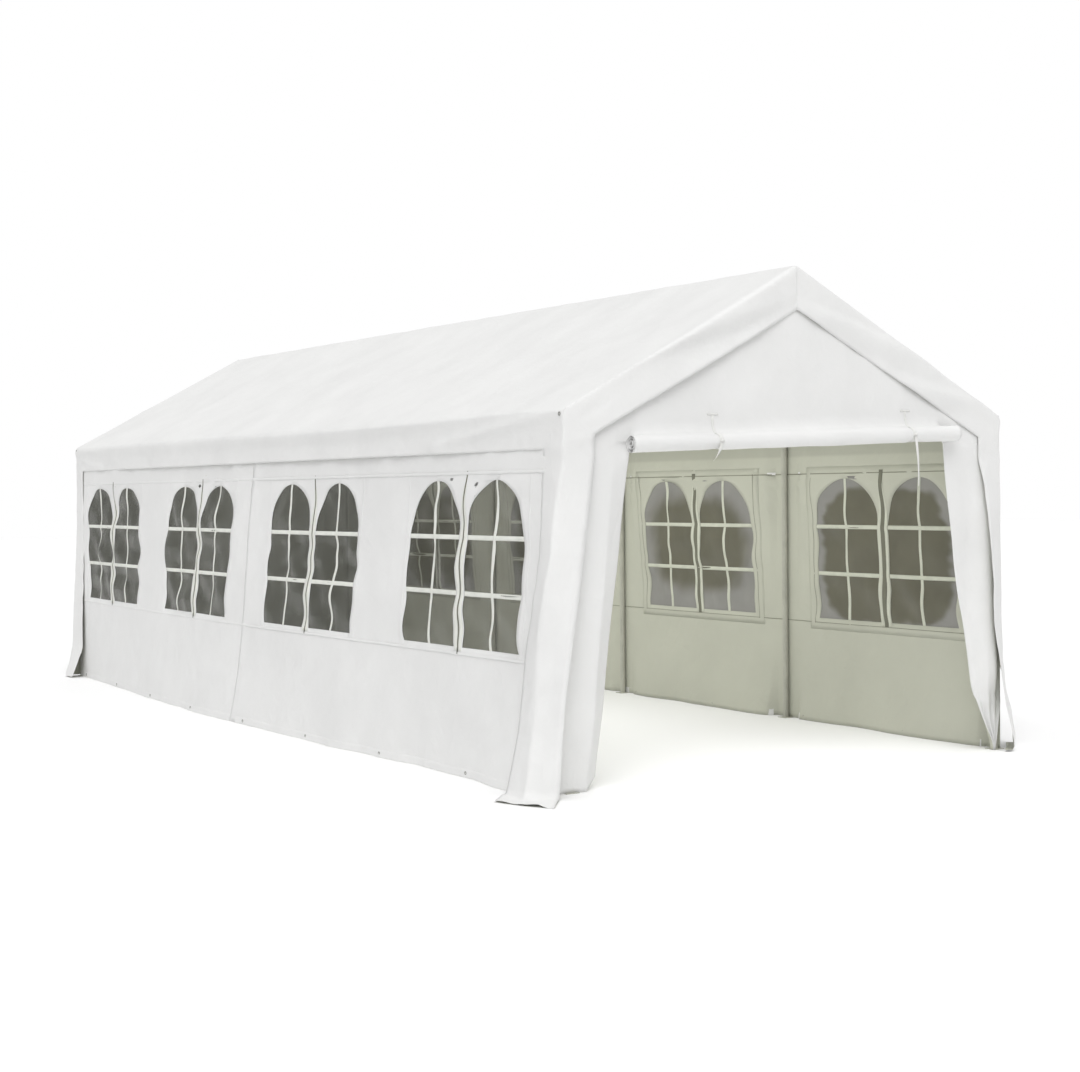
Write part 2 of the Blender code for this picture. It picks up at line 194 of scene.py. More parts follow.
# Front doorway
PANEL_FOOT_Z = 1.790
LEFT_STRIP = (
    (1.790, -1.200, -1.100, 0.000, 0.000),
    (1.640, -1.205, -1.098, 0.028, 0.000),
    (1.200, -1.247, -1.128, 0.070, 0.000),
    (0.980, -1.270, -1.154, 0.085, 0.000),
    (0.400, -1.330, -1.199, 0.110, 0.015),
    (0.0025, -1.388, -1.247, 0.130, 0.055),
)
# Right strip: height, X of its two edges
RIGHT_STRIP = (
    (1.790, 1.056, 1.4967),
    (1.640, 1.070, 1.4967),
    (1.409, 1.098, 1.4967),
    (1.120, 1.135, 1.4967),
    (0.888, 1.177, 1.4967),
    (0.724, 1.210, 1.4967),
    (0.595, 1.230, 1.488),
    (0.483, 1.243, 1.476),
    (0.367, 1.257, 1.484),
    (0.235, 1.318, 1.490),
    (0.160, 1.358, 1.474),
    (0.040, 1.420, 1.450),
    (0.0025, 1.418, 1.438),
)
DOOR_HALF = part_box("back_door")[1].x
DOOR_TOP_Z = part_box("back_door")[1].z

# Rolled door: ends, thickness and ties
ROLL_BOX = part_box("rolled_door")
ROLL_ENDS_X = (-1.122, 1.118)
ROLL_ENDS_Z = (1.777, 1.849)
ROLL_RADIUS = 0.046
ROLL_TURNS = 2 * math.pi * 3.6
TIE_SEAM_Z = 1.935
LEAD_HEIGHT = 0.075
TIE_NODES = {"door_tie_left": -0.572, "door_tie_right": 0.770}
TIE_WIDTH = 0.025

# Camera at the photograph's viewing angle
CAMERA_PLACE = (-6.650, -12.365, 1.5305)
CAMERA_YAW = 0.53915
CAMERA_PITCH = -0.02207
CAMERA_ROLL = -0.010478
FOCAL_PIXELS = 1938.7
PHOTO_WIDTH = 1080
SENSOR_WIDTH = 36.0


def linear_colour(code):
    """Turn an sRGB hex code into linear red, green and blue."""
    values = np.array([int(code[i : i + 2], 16) for i in (0, 2, 4)]) / 255
    linear = np.where(values <= 0.04045, values / 12.92, ((values + 0.055) / 1.055) ** 2.4)
    return tuple(float(value) for value in linear)


def distance_property(name, description, default):
    return FloatProperty(
        name=name, description=description, default=default, min=0.0, unit="LENGTH", precision=4
    )


def colour_property(name, description, code):
    return FloatVectorProperty(
        name=name,
        description=description,
        default=linear_colour(code),
        subtype="COLOR",
        min=0.0,
        max=1.0,
    )


class TentSizes(bpy.types.PropertyGroup):
    """Sizes of the cloth and of what is sewn on it"""

    grid_step: distance_property("Grid step", "Spacing of the cloth's grids", 0.032)
    cloth: distance_property("Cloth", "Thickness of the drawn cloth", 0.0010)
    film: distance_property("Film", "Thickness of the window film", 0.0005)
    roof_sag: distance_property("Roof sag", "Sag of the roof between two rafters", 0.012)
    roof_ripple: distance_property("Roof ripple", "Depth of the roof's streaks", 0.0016)
    stand_off: distance_property("Stand-off", "Gap of a hanging edge to the wall", 0.012)
    gable_stand_off: distance_property("Gable gap", "Gap of a gable edge to the panel", 0.024)
    wall_dent: distance_property("Wall dents", "Depth of the walls' broad dents", 0.007)
    wall_crinkle: distance_property("Wall crinkles", "Depth of the walls' creases", 0.0035)
    pane_wave: distance_property("Pane waves", "Bulge of the film between the bars", 0.013)
    bar_width: distance_property("Bar width", "Width of the window bars", 0.026)
    zip_width: distance_property("Zip width", "Width of a zip between two windows", 0.012)
    zip_inside: distance_property("Zip band", "Width of the zip's tape inside", 0.034)
    edging_width: distance_property("Edging width", "Width of the edging beside a zip", 0.034)
    seam_width: distance_property("Seam width", "Width of a lapped seam", 0.018)


class TentColours(bpy.types.PropertyGroup):
    """Colours of the tent's finishes"""

    cloth: colour_property("Cloth", "Outside of the cover and walls", "E4E4E3")
    # Painted shade and painted green reflection: the cloth is white on both sides, and this darker grey-green stands
    # in for the shade inside the tent.
    lining: colour_property("Lining", "Inside of the cover and walls", "BFC0B3")
    edging: colour_property("Edging", "Window bars and edging outside", "E2E3DC")
    # Painted shade: the same cream tape as outside, in a darker grey-green for the shade inside the tent.
    edging_shaded: colour_property("Inner edging", "Window bars and edging inside", "CDCFC1")
    film: colour_property("Film", "Window film", "6B695C")
    # Paler colour at the margins of the right wall's films, around their darker middle.
    film_pale_margin: colour_property("Film margin", "Dull margins of the window film", "93928F")
    film_left: colour_property("Left film", "Window film of the left wall", "34342D")
    zip: colour_property("Zip", "Zips", "77776A")
    thread: colour_property("Thread", "Stitching inside", "8C8C7E")
    steel: colour_property("Steel", "Painted tubes", "B9B9AE")
    floor: colour_property("Floor", "Floor under the tent", "F6F6F6")


def add_node(tree, kind, settings=None, inputs=None):
    """Add a node with its settings; an input is a value, or an output socket to link."""
    made = tree.nodes.new(kind)
    for name, value in (settings or {}).items():
        setattr(made, name, value)
    for socket, value in (inputs or {}).items():
        if isinstance(value, bpy.types.NodeSocket):
            tree.links.new(value, made.inputs[socket])
        else:
            made.inputs[socket].default_value = value
    return made


def new_material(name):
    """An empty node material with its Principled shader."""
    material = bpy.data.materials.new(name)
    material.use_nodes = True
    tree = material.node_tree
    return material, tree, tree.nodes["Principled BSDF"]


def rgba(colour, share=1.0):
    return tuple(min(1.0, channel * share) for channel in colour) + (1.0,)


def bump(tree, height, distance, strength, normal=None):
    """Add a bump on top of another normal; distance is its depth in metres."""
    inputs = {"Strength": strength, "Distance": distance, "Height": height}
    if normal is not None:
        inputs["Normal"] = normal
    return add_node(tree, "ShaderNodeBump", inputs=inputs).outputs["Normal"]


def noise(tree, vector, scale, detail=2.0, roughness=0.5, distortion=0.0):
    """Add a noise of a scale per metre and give its value."""
    inputs = {
        "Vector": vector,
        "Scale": scale,
        "Detail": detail,
        "Roughness": roughness,
        "Distortion": distortion,
    }
    return add_node(tree, "ShaderNodeTexNoise", inputs=inputs).outputs["Fac"]


def tinted(tree, factor, colour, low, high, low_share, high_share):
    """Add a ramp between two shares of a colour."""
    tint = add_node(tree, "ShaderNodeValToRGB", inputs={"Fac": factor})
    tint.color_ramp.elements[0].position = low
    tint.color_ramp.elements[0].color = rgba(colour, low_share)
    tint.color_ramp.elements[1].position = high
    tint.color_ramp.elements[1].color = rgba(colour, high_share)
    return tint.outputs["Color"]


def woven_sheet(name, colour, roughness=0.52, shaded_above=0.0):
    """Woven polyethylene sheet: flat tapes about 2.5 mm wide, coated on both sides.

    It gives the eye a bright, slightly waxy white with soft cloudy dents, sharp little creases at
    all angles and long narrow folds that run down it. Above a given height the cover hangs over
    the wall and less light comes through, so there the colour is darkened as painted shade.
    """
    material, tree, shader = new_material(name)
    place = add_node(tree, "ShaderNodeTexCoord").outputs["Object"]
    cloth_uv = add_node(tree, "ShaderNodeUVMap", {"uv_map": "cloth"}).outputs["UV"]
    cloud = noise(tree, place, 2.2, 3.0, 0.55)
    colours = tinted(tree, cloud, colour, 0.30, 0.68, 0.965, 1.02)
    # Painted shade: above this height the inside colour is darkened, where the cover hanging over the wall keeps light
    # out.
    if shaded_above:
        height = add_node(tree, "ShaderNodeSeparateXYZ", inputs={"Vector": place}).outputs["Z"]
        share = add_node(
            tree,
            "ShaderNodeMapRange",
            {"interpolation_type": "SMOOTHSTEP"},
            {
                "Value": height,
                "From Min": shaded_above - 0.012,
                "From Max": shaded_above + 0.012,
                "To Min": 1.0,
                "To Max": 0.86,
            },
        ).outputs["Result"]
        deeper = add_node(
            tree, "ShaderNodeVectorMath", {"operation": "SCALE"}, {"Vector": colours, "Scale": share}
        )
        colours = deeper.outputs["Vector"]
    tree.links.new(colours, shader.inputs["Base Color"])
    # Weave of 2.5 mm tapes: crossing waves, 400 to the metre in each direction
    threads = [
        add_node(
            tree,
            "ShaderNodeTexWave",
            {"bands_direction": direction, "wave_profile": "SIN"},
            {"Vector": cloth_uv, "Scale": 20.0},
        ).outputs["Fac"]
        for direction in "XY"
    ]
    weave = add_node(tree, "ShaderNodeMath", {"operation": "MULTIPLY"}, dict(enumerate(threads)))
    normal = bump(tree, weave.outputs["Value"], 0.0003, 0.25)
    # Grain that the eye takes for crumpled coating, 8 to 25 mm
    normal = bump(tree, noise(tree, place, 55.0, 3.0, 0.6), 0.0007, 0.55, normal)
    # Small sharp creases 20 to 100 mm long: ridges of a warped noise
    warp = add_node(
        tree,
        "ShaderNodeTexNoise",
        inputs={"Vector": place, "Scale": 4.0, "Detail": 2.0},
    ).outputs["Color"]
    warped = add_node(
        tree, "ShaderNodeVectorMath", {"operation": "MULTIPLY_ADD"}, {0: warp, 1: (0.2,) * 3, 2: place}
    ).outputs["Vector"]
    ridges = add_node(
        tree,
        "ShaderNodeTexNoise",
        {"noise_type": "RIDGED_MULTIFRACTAL", "normalize": False},
        {"Vector": warped, "Scale": 5.0, "Detail": 3.5, "Roughness": 0.55, "Offset": 1.0, "Gain": 1.4},
    ).outputs["Fac"]
    normal = bump(tree, ridges, 0.0022, 0.6, normal)
    # Long narrow folds down the cloth, 60 to 150 mm apart
    long_way = add_node(
        tree, "ShaderNodeVectorMath", {"operation": "MULTIPLY"}, {0: warped, 1: (1.0, 1.0, 0.16)}
    ).outputs["Vector"]
    normal = bump(tree, noise(tree, long_way, 9.0, 3.0, 0.55), 0.0045, 0.6, normal)
    # Soft crumple, 80 to 250 mm
    normal = bump(tree, noise(tree, place, 5.5, 3.0, 0.5, 0.8), 0.008, 0.6, normal)
    tree.links.new(normal, shader.inputs["Normal"])
    shader.inputs["Roughness"].default_value = roughness
    shader.inputs["IOR"].default_value = 1.5
    shader.inputs["Specular IOR Level"].default_value = 0.35
    return material


def sheet_materials(colours):
    """White outside of the cover and the walls; inside, the same white cloth in a darker grey-green as painted shade.
    """
    return [
        finish(woven_sheet, "woven_sheet_white", colours.cloth),
        # Inside faces: the white cloth's colour darkened to grey-green as painted shade.
        finish(woven_sheet, "woven_sheet_lining", colours.lining, 0.6, VALANCE_Z),
    ]


def clear_film(name, colour, alpha):
    """Soft PVC window film: smooth and smoky, with slanting creases that catch the light."""
    material, tree, shader = new_material(name)
    place = add_node(tree, "ShaderNodeTexCoord").outputs["Object"]
    cloud = noise(tree, place, 3.0, 3.0, 0.5, 0.4)
    tree.links.new(tinted(tree, cloud, colour, 0.25, 0.75, 0.85, 1.2), shader.inputs["Base Color"])
    normal = bump(tree, noise(tree, place, 9.0, 2.0, 0.5, 0.6), 0.006, 0.5)
    slant = add_node(
        tree,
        "ShaderNodeTexWave",
        {"bands_direction": "DIAGONAL"},
        {"Vector": place, "Scale": 1.1, "Distortion": 9.0, "Detail": 2.0, "Detail Scale": 1.5},
    ).outputs["Fac"]
    normal = bump(tree, slant, 0.006, 0.5, normal)
    tree.links.new(normal, shader.inputs["Normal"])
    shader.inputs["Alpha"].default_value = alpha
    shader.inputs["Roughness"].default_value = 0.26
    shader.inputs["IOR"].default_value = 1.54
    shader.inputs["Specular IOR Level"].default_value = 0.4
    return material


def film_dark_middle(name, colour, margin, alpha):
    """Soft PVC window film: darker inside a ragged line, paler outside.

    The attribute "middle" is 0.5 on that line, and its slope sets how blurred the line is.
    """
    material, tree, shader = new_material(name)
    place = add_node(tree, "ShaderNodeTexCoord").outputs["Object"]
    middle = add_node(tree, "ShaderNodeAttribute", {"attribute_name": "middle"}).outputs["Fac"]
    share = add_node(
        tree,
        "ShaderNodeMapRange",
        {"interpolation_type": "SMOOTHSTEP"},
        {"Value": middle, "From Min": 0.0, "From Max": 1.0},
    ).outputs["Result"]
    cloud = noise(tree, place, 4.0, 3.0, 0.5, 0.4)
    inner = tinted(tree, cloud, colour, 0.25, 0.75, 0.90, 1.12)
    outer = tinted(tree, cloud, margin, 0.25, 0.75, 0.90, 1.10)
    mixed = add_node(tree, "ShaderNodeMix", {"data_type": "RGBA"})
    tree.links.new(share, mixed.inputs["Factor"])
    tree.links.new(outer, mixed.inputs[6])
    tree.links.new(inner, mixed.inputs[7])
    tree.links.new(mixed.outputs[2], shader.inputs["Base Color"])
    normal = bump(tree, noise(tree, place, 9.0, 2.0, 0.5, 0.6), 0.004, 0.5)
    tree.links.new(normal, shader.inputs["Normal"])
    shader.inputs["Alpha"].default_value = alpha
    shader.inputs["Roughness"].default_value = 0.38
    shader.inputs["IOR"].default_value = 1.54
    shader.inputs["Specular IOR Level"].default_value = 0.3
    return material


def ribbed_tape(name, colour, pitch, roughness=0.6):
    """Woven tape or moulded zip: ribs across its length, at a pitch in metres."""
    material, tree, shader = new_material(name)
    tape_uv = add_node(tree, "ShaderNodeUVMap", {"uv_map": "cloth"}).outputs["UV"]
    place = add_node(tree, "ShaderNodeTexCoord").outputs["Object"]
    cloud = add_node(
        tree, "ShaderNodeTexNoise", inputs={"Vector": place, "Scale": 14.0, "Detail": 2.0}
    )
    tint = add_node(tree, "ShaderNodeValToRGB", inputs={"Fac": cloud.outputs["Fac"]})
    tint.color_ramp.elements[0].position = 0.3
    tint.color_ramp.elements[0].color = rgba(colour, 0.93)
    tint.color_ramp.elements[1].position = 0.7
    tint.color_ramp.elements[1].color = rgba(colour, 1.03)
    tree.links.new(tint.outputs["Color"], shader.inputs["Base Color"])
    ribs = add_node(
        tree,
        "ShaderNodeTexWave",
        {"bands_direction": "Y", "wave_profile": "SIN"},
        {"Vector": tape_uv, "Scale": 1 / pitch / 20},
    )
    bump = add_node(
        tree,
        "ShaderNodeBump",
        inputs={"Strength": 0.4, "Distance": pitch / 4, "Height": ribs.outputs["Fac"]},
    )
    tree.links.new(bump.outputs["Normal"], shader.inputs["Normal"])
    shader.inputs["Roughness"].default_value = roughness
    return material


def painted_steel(name, colour):
    """Powder-coated steel tube: even pale paint with a fine orange-peel texture."""
    material, tree, shader = new_material(name)
    place = add_node(tree, "ShaderNodeTexCoord").outputs["Object"]
    peel = add_node(
        tree, "ShaderNodeTexNoise", inputs={"Vector": place, "Scale": 260.0, "Detail": 2.0}
    )
    wear = add_node(
        tree, "ShaderNodeTexNoise", inputs={"Vector": place, "Scale": 9.0, "Detail": 5.0}
    )
    tint = add_node(tree, "ShaderNodeValToRGB", inputs={"Fac": wear.outputs["Fac"]})
    tint.color_ramp.elements[0].position = 0.32
    tint.color_ramp.elements[0].color = rgba(colour, 0.86)
    tint.color_ramp.elements[1].position = 0.60
    tint.color_ramp.elements[1].color = rgba(colour)
    tree.links.new(tint.outputs["Color"], shader.inputs["Base Color"])
    bump = add_node(
        tree,
        "ShaderNodeBump",
        inputs={"Strength": 0.15, "Distance": 0.0004, "Height": peel.outputs["Fac"]},
    )
    tree.links.new(bump.outputs["Normal"], shader.inputs["Normal"])
    shader.inputs["Roughness"].default_value = 0.42
    return material


def plated_metal(name):
    """Zinc-plated brass eyelet or button: bright, slightly dulled metal."""
    material, tree, shader = new_material(name)
    place = add_node(tree, "ShaderNodeTexCoord").outputs["Object"]
    dull = add_node(
        tree, "ShaderNodeTexNoise", inputs={"Vector": place, "Scale": 120.0, "Detail": 3.0}
    )
    rough = add_node(
        tree,
        "ShaderNodeMapRange",
        inputs={"Value": dull.outputs["Fac"], "To Min": 0.25, "To Max": 0.5},
    )
    tree.links.new(rough.outputs["Result"], shader.inputs["Roughness"])
    shader.inputs["Base Color"].default_value = rgba(linear_colour("9A9A94"))
    shader.inputs["Metallic"].default_value = 1.0
    return material


def studio_floor(name, colour):
    """Matt white studio floor."""
    material, tree, shader = new_material(name)
    place = add_node(tree, "ShaderNodeTexCoord").outputs["Object"]
    grain = add_node(tree, "ShaderNodeTexNoise", inputs={"Vector": place, "Scale": 0.6})
    tint = add_node(tree, "ShaderNodeValToRGB", inputs={"Fac": grain.outputs["Fac"]})
    tint.color_ramp.elements[0].color = rgba(colour, 0.995)
    tint.color_ramp.elements[1].color = rgba(colour)
    tree.links.new(tint.outputs["Color"], shader.inputs["Base Color"])
    shader.inputs["Roughness"].default_value = 0.9
    shader.inputs["Specular IOR Level"].default_value = 0.1
    return material


def finish(kind, *facts):
    """Make a material once and give the same one afterwards."""
    found = bpy.data.materials.get(facts[0])
    return found or kind(*facts)


def spaced(low, high, step, near_low=(), near_high=()):
    """Places from low to high about a step apart, with closer ones at the given distances."""
    inner_low = low + max(near_low, default=0.0)
    inner_high = high - max(near_high, default=0.0)
    count = max(1, round((inner_high - inner_low) / step))
    middle = np.linspace(inner_low, inner_high, count + 1)
    ends = [low, high] + [low + near for near in near_low] + [high - near for near in near_high]
    return np.unique(np.round(np.concatenate([middle, ends]), 7))


def flowing(at, places, values, reach):
    """Linear interpolation averaged over a reach to both sides, so corners turn into curves."""
    places, values = np.asarray(places, float), np.asarray(values, float)
    order = np.argsort(places)
    offsets = np.linspace(-reach, reach, 9)
    samples = [np.interp(at + offset, places[order], values[order]) for offset in offsets]
    return np.mean(samples, axis=0)


def ripple(points, lengths, seed, count=14):
    """Sum of sines along seeded headings, from about -1 to 1.

    Each wave is sin(k . p + phase), with k a random unit vector times 2 pi over the wavelengths
    along X, Y and Z, times 0.6 to 1.4.
    """
    random = np.random.default_rng(seed)
    total = np.zeros(points.shape[:-1])
    for _ in range(count):
        heading = random.normal(size=3)
        heading /= np.linalg.norm(heading)
        wave = 2 * math.pi * heading / np.asarray(lengths) * random.uniform(0.6, 1.4)
        total += np.sin(points @ wave + random.uniform(0, 2 * math.pi))
    return total / math.sqrt(count)


def creases(points, lengths, seed):
    """Dents with sharp ridges between them: 0.4 - |ripple|, so its crests are creases."""
    return 0.4 - np.abs(ripple(points, lengths, seed, 8))


def smooth_share(value, low, high):
    """0 below low, 1 above high and 3t^2 - 2t^3 between."""
    t = np.clip((value - low) / (high - low), 0.0, 1.0)
    return t * t * (3 - 2 * t)


def pleat(u, v, start, end, width, depth):
    """A straight fold on a face: depth * exp(-(distance to the segment / width)^2)."""
    along = np.subtract(end, start)
    share = ((u - start[0]) * along[0] + (v - start[1]) * along[1]) / (along @ along)
    share = np.clip(share, 0.0, 1.0)
    off_u = u - start[0] - share * along[0]
    off_v = v - start[1] - share * along[1]
    taper = 0.35 + 0.65 * np.sin(math.pi * np.clip(share, 0.02, 0.98))
    return depth * taper * np.exp(-(off_u**2 + off_v**2) / width**2)


def patch(points, uv, outward, material=0, closed=False):
    """One grid of a piece: points (rows, columns, 3), cloth UV in metres, and its outward side."""
    return {
        "points": np.asarray(points, float),
        "uv": np.asarray(uv, float),
        "outward": outward,
        "material": material,
        "closed": closed,
    }


def patch_faces(grid, first):
    """Corner numbers of a grid's quads, turned so that their normals follow its outward side."""
    rows, columns = grid["points"].shape[:2]
    index = np.arange(rows * columns).reshape(rows, columns)
    if grid["closed"]:
        index = np.concatenate([index, index[:, :1]], axis=1)
    quads = np.stack([index[:-1, :-1], index[:-1, 1:], index[1:, 1:], index[1:, :-1]], axis=-1)
    quads = quads.reshape(-1, 4)
    flat = grid["points"].reshape(-1, 3)
    normals = np.cross(flat[quads[:, 2]] - flat[quads[:, 0]], flat[quads[:, 3]] - flat[quads[:, 1]])
    outward = grid["outward"]
    if callable(outward):
        outward = outward(flat[quads].mean(axis=1))
    if np.sum(normals * outward) < 0:
        quads = quads[:, ::-1]
    return quads + first, flat, grid["uv"].reshape(-1, 2)


def add_piece(name, grids, materials, nodes=(), thickness=0.0, weld=True):
    """Join grids into one mesh, give it thickness inwards, and hand it to the frame."""
    quads, places, uvs, indices, first = [], [], [], [], 0
    for grid in grids:
        faces, flat, uv = patch_faces(grid, first)
        quads.append(faces)
        places.append(flat)
        uvs.append(uv)
        indices.append(np.full(len(faces), grid["material"]))
        first += len(flat)
    quads, places = np.concatenate(quads), np.concatenate(places)
    uvs, indices = np.concatenate(uvs), np.concatenate(indices)
    mesh = bpy.data.meshes.new(name)
    mesh.vertices.add(len(places))
    mesh.vertices.foreach_set("co", places.ravel())
    mesh.loops.add(quads.size)
    mesh.loops.foreach_set("vertex_index", quads.ravel().astype(np.int32))
    mesh.polygons.add(len(quads))
    mesh.polygons.foreach_set("loop_start", np.arange(0, quads.size, 4, dtype=np.int32))
    mesh.polygons.foreach_set("material_index", indices.astype(np.int32))
    layer = mesh.uv_layers.new(name="cloth")
    layer.uv.foreach_set("vector", uvs[quads.ravel()].ravel())
    mesh.update(calc_edges=True)
    if mesh.validate():
        raise RuntimeError(f"{name} has faces that are not valid")
    if weld:
        bm = bmesh.new()
        bm.from_mesh(mesh)
        bmesh.ops.remove_doubles(bm, verts=bm.verts, dist=2e-5)
        bm.to_mesh(mesh)
        bm.free()
    mesh.shade_smooth()
    for material in materials:
        mesh.materials.append(material)
    piece = bpy.data.objects.new(name, mesh)
    bpy.context.scene.collection.objects.link(piece)
    if thickness:
        solidify = piece.modifiers.new("thickness", "SOLIDIFY")
        solidify.thickness = thickness
        solidify.offset = -1.0
        solidify.material_offset = 1 if len(materials) > 1 else 0
    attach(piece, "root")
    if nodes:
        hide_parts(*nodes)
    return piece


def roof_z(x):
    """Height of the cover's outer face above a point x from the middle."""
    return RIDGE_Z - SLOPE * np.abs(x)


def lean_at(sign, y):
    """How far a side wall's foot stands out from its head."""
    if sign > 0:
        return np.zeros_like(y)
    places, values = zip(*LEFT_LEAN)
    return flowing(y, places, values, 0.30)


def cover_planes(x, y, z):
    """Distances to the cover's planes and their normals: two sides, two gables, two slopes."""
    zero = np.zeros_like(x)
    distances = np.stack(
        [
            x - HALF_WIDTH,
            -x - HALF_WIDTH,
            y - HALF_LENGTH,
            -y - HALF_LENGTH,
            (z + SLOPE * x - RIDGE_Z) / SLANT + zero,
            (z - SLOPE * x - RIDGE_Z) / SLANT + zero,
        ],
        axis=-1,
    )
    normals = np.array(
        [
            (1, 0, 0),
            (-1, 0, 0),
            (0, 1, 0),
            (0, -1, 0),
            (SLOPE / SLANT, 0, 1 / SLANT),
            (-SLOPE / SLANT, 0, 1 / SLANT),
        ]
    )
    return distances, normals


def soften(points):
    """Move sharp points onto rounded edges; give them with normals and each plane's weight.

    The largest distance to a plane is replaced by bend * log(sum(exp(distance / bend))), and two
    Newton steps along its gradient bring each point to zero.
    """
    points = points.copy()
    for _ in range(2):
        distances, normals = cover_planes(*np.moveaxis(points, -1, 0))
        highest = distances.max(axis=-1, keepdims=True)
        weights = np.exp((distances - highest) / EDGE_BEND)
        total = weights.sum(axis=-1, keepdims=True)
        level = highest + EDGE_BEND * np.log(total)
        weights /= total
        gradient = weights @ normals
        points -= level * gradient / np.sum(gradient**2, axis=-1, keepdims=True)
    gradient /= np.linalg.norm(gradient, axis=-1, keepdims=True)
    return points, gradient, weights


def roof_relief(points, sizes):
    """Height of the roof's folds: sag between the rafters, streaks down the slope, broad dents."""
    x, y, z = np.moveaxis(points, -1, 0)
    between = np.sin(math.pi * (y + HALF_LENGTH) / BAY) ** 2
    reach = np.clip(np.abs(x) / HALF_WIDTH, 0.0, 1.0)
    open_area = between * np.sin(math.pi * reach)
    relief = -sizes.roof_sag * open_area
    relief += sizes.roof_ripple * ripple(points, (2.2, 0.30, 2.2), 11)
    relief += 0.0035 * open_area * ripple(points, (0.9, 0.7, 0.9), 12)
    relief += 0.0012 * creases(points, (1.0, 0.55, 1.0), 13)
    return relief


def side_relief(points, sizes):
    """Height of the folds of a long hanging edge: Y along it, Z up.

    Under the eave the cloth dips into a long valley, then flares to its free edge. The valley
    leaves the eave at the front corner and sinks on the way back.
    """
    x, y, z = np.moveaxis(points, -1, 0)
    along = np.where(x < 0, y, -y)
    level = np.maximum(z, VALANCE_Z)
    lean = np.where(x < 0, lean_at(-1, y), 0.0)
    lean = lean * np.clip(LEAN_TOP_Z - level, 0.0, None) / LEAN_TOP_Z
    valley = flowing(along, (-4.0, -3.3, -2.5, -1.6, -0.5, 4.0), (1.950, 1.926, 1.900, 1.876, 1.862, 1.862), 0.2)
    push = flowing(along, (-4.0, -3.5, -2.8, -1.0, 0.5, 3.2, 4.0), (0.0, 12.0, 22.0, 18.0, 9.0, 8.0, 14.0), 0.3) / 1000
    lip = flowing(along, (-4.0, -3.2, -2.4, -0.5, 1.0, 4.0), (2.0, 4.0, 14.0, 12.0, 8.0, 4.0), 0.3) / 1000
    above = smooth_share(z, valley, valley + 0.055)
    below = smooth_share(valley - level, 0.0, valley - VALANCE_Z + 0.02)
    edge = np.clip((EAVE_Z - level) / 0.03, 0.0, 1.0)
    relief = lean + edge * (push * above + lip * below + 0.0012)
    drop = np.clip((EAVE_Z - level) / (EAVE_Z - VALANCE_Z), 0.0, 1.0)
    relief += 0.0030 * drop * ripple(points, (1.0, 0.28, 0.8), 21)
    relief += 0.0040 * drop * creases(points, (0.8, 0.26, 0.22), 22)
    relief += pleat(along, level, (-3.95, 1.945), (-2.60, 1.80), 0.028, 0.016)
    relief += pleat(along, z, (3.97, 1.94), (2.90, 1.765), 0.035, -0.008)
    relief += pleat(along, z, (3.97, 1.87), (3.30, 1.765), 0.025, 0.006)
    return np.maximum(relief, -0.001)


def gable_relief(points, sizes):
    """Height of the folds of a gable edge: X across it, Z up.

    fall is the distance below the roof's edge, square to it. On the left the cloth stays out
    along the rafter, drops into a valley that runs up to the peak, and flares to its free edge. On
    the right two crests run from the free edge up to the rafter.
    """
    x, y, z = np.moveaxis(points, -1, 0)
    across = np.where(y < 0, x, -x)
    level = np.maximum(z, CHEVRON_CORNER_Z - 0.05)
    fall = (roof_z(x) - level) / SLANT
    total = 0.212
    left = across < 0
    valley = flowing(across, (-1.5, -1.18, -0.385, 0.0), (0.0, 0.0, 0.145, 0.205), 0.06)
    push = flowing(across, (-1.5, -1.2, -0.9, -0.3, 0.0), (0.0, 0.008, 0.030, 0.026, 0.008), 0.08)
    lip = flowing(across, (-1.5, -1.3, -0.8, -0.2, 0.0), (0.012, 0.020, 0.034, 0.024, 0.006), 0.08)
    start = np.clip(fall / 0.02, 0.0, 1.0)
    above = smooth_share(valley - fall, 0.0, 0.075)
    below = smooth_share(fall - valley, 0.0, total - valley + 0.03)
    relief_left = start * (push * above + lip * below)
    crest = flowing(across, (0.0, 0.30, 0.95, 1.5), (0.200, 0.120, 0.005, -0.15), 0.05)
    height = flowing(across, (0.0, 0.15, 0.6, 0.95, 1.1), (0.004, 0.018, 0.026, 0.013, 0.0), 0.05)
    rise = np.where(fall < crest, smooth_share(fall - crest, -0.045, 0.0), 0.0)
    decline = np.where(fall >= crest, 1 - smooth_share(fall - crest, 0.0, 0.115), 0.0)
    relief_right = height * (rise + decline)
    crest = flowing(across, (0.0, 0.70, 0.81, 1.33, 1.5), (0.26, 0.20, 0.175, 0.018, -0.03), 0.04)
    height = flowing(across, (0.55, 0.8, 1.1, 1.33, 1.5), (0.0, 0.013, 0.018, 0.010, 0.0), 0.05)
    rise = np.where(fall < crest, smooth_share(fall - crest, -0.040, 0.0), 0.0)
    decline = np.where(fall >= crest, 1 - smooth_share(fall - crest, 0.0, 0.10), 0.0)
    relief_right += height * (rise + decline) + 0.003 * start
    relief = np.where(left, relief_left, relief_right)
    drop = np.clip(fall / total, 0.0, 1.0)
    relief += 0.0030 * drop * ripple(points, (0.30, 1.0, 0.35), 31)
    relief += 0.0036 * drop * creases(points, (0.26, 1.0, 0.24), 32)
    relief += pleat(across, z, (-0.52, 2.47), (-0.22, 2.60), 0.028, -0.006)
    relief += pleat(across, z, (-1.42, 1.90), (-1.20, 2.02), 0.022, -0.005)
    relief += pleat(across, z, (-1.45, 1.80), (-1.25, 1.84), 0.018, 0.005)
    return np.maximum(relief, -0.001)


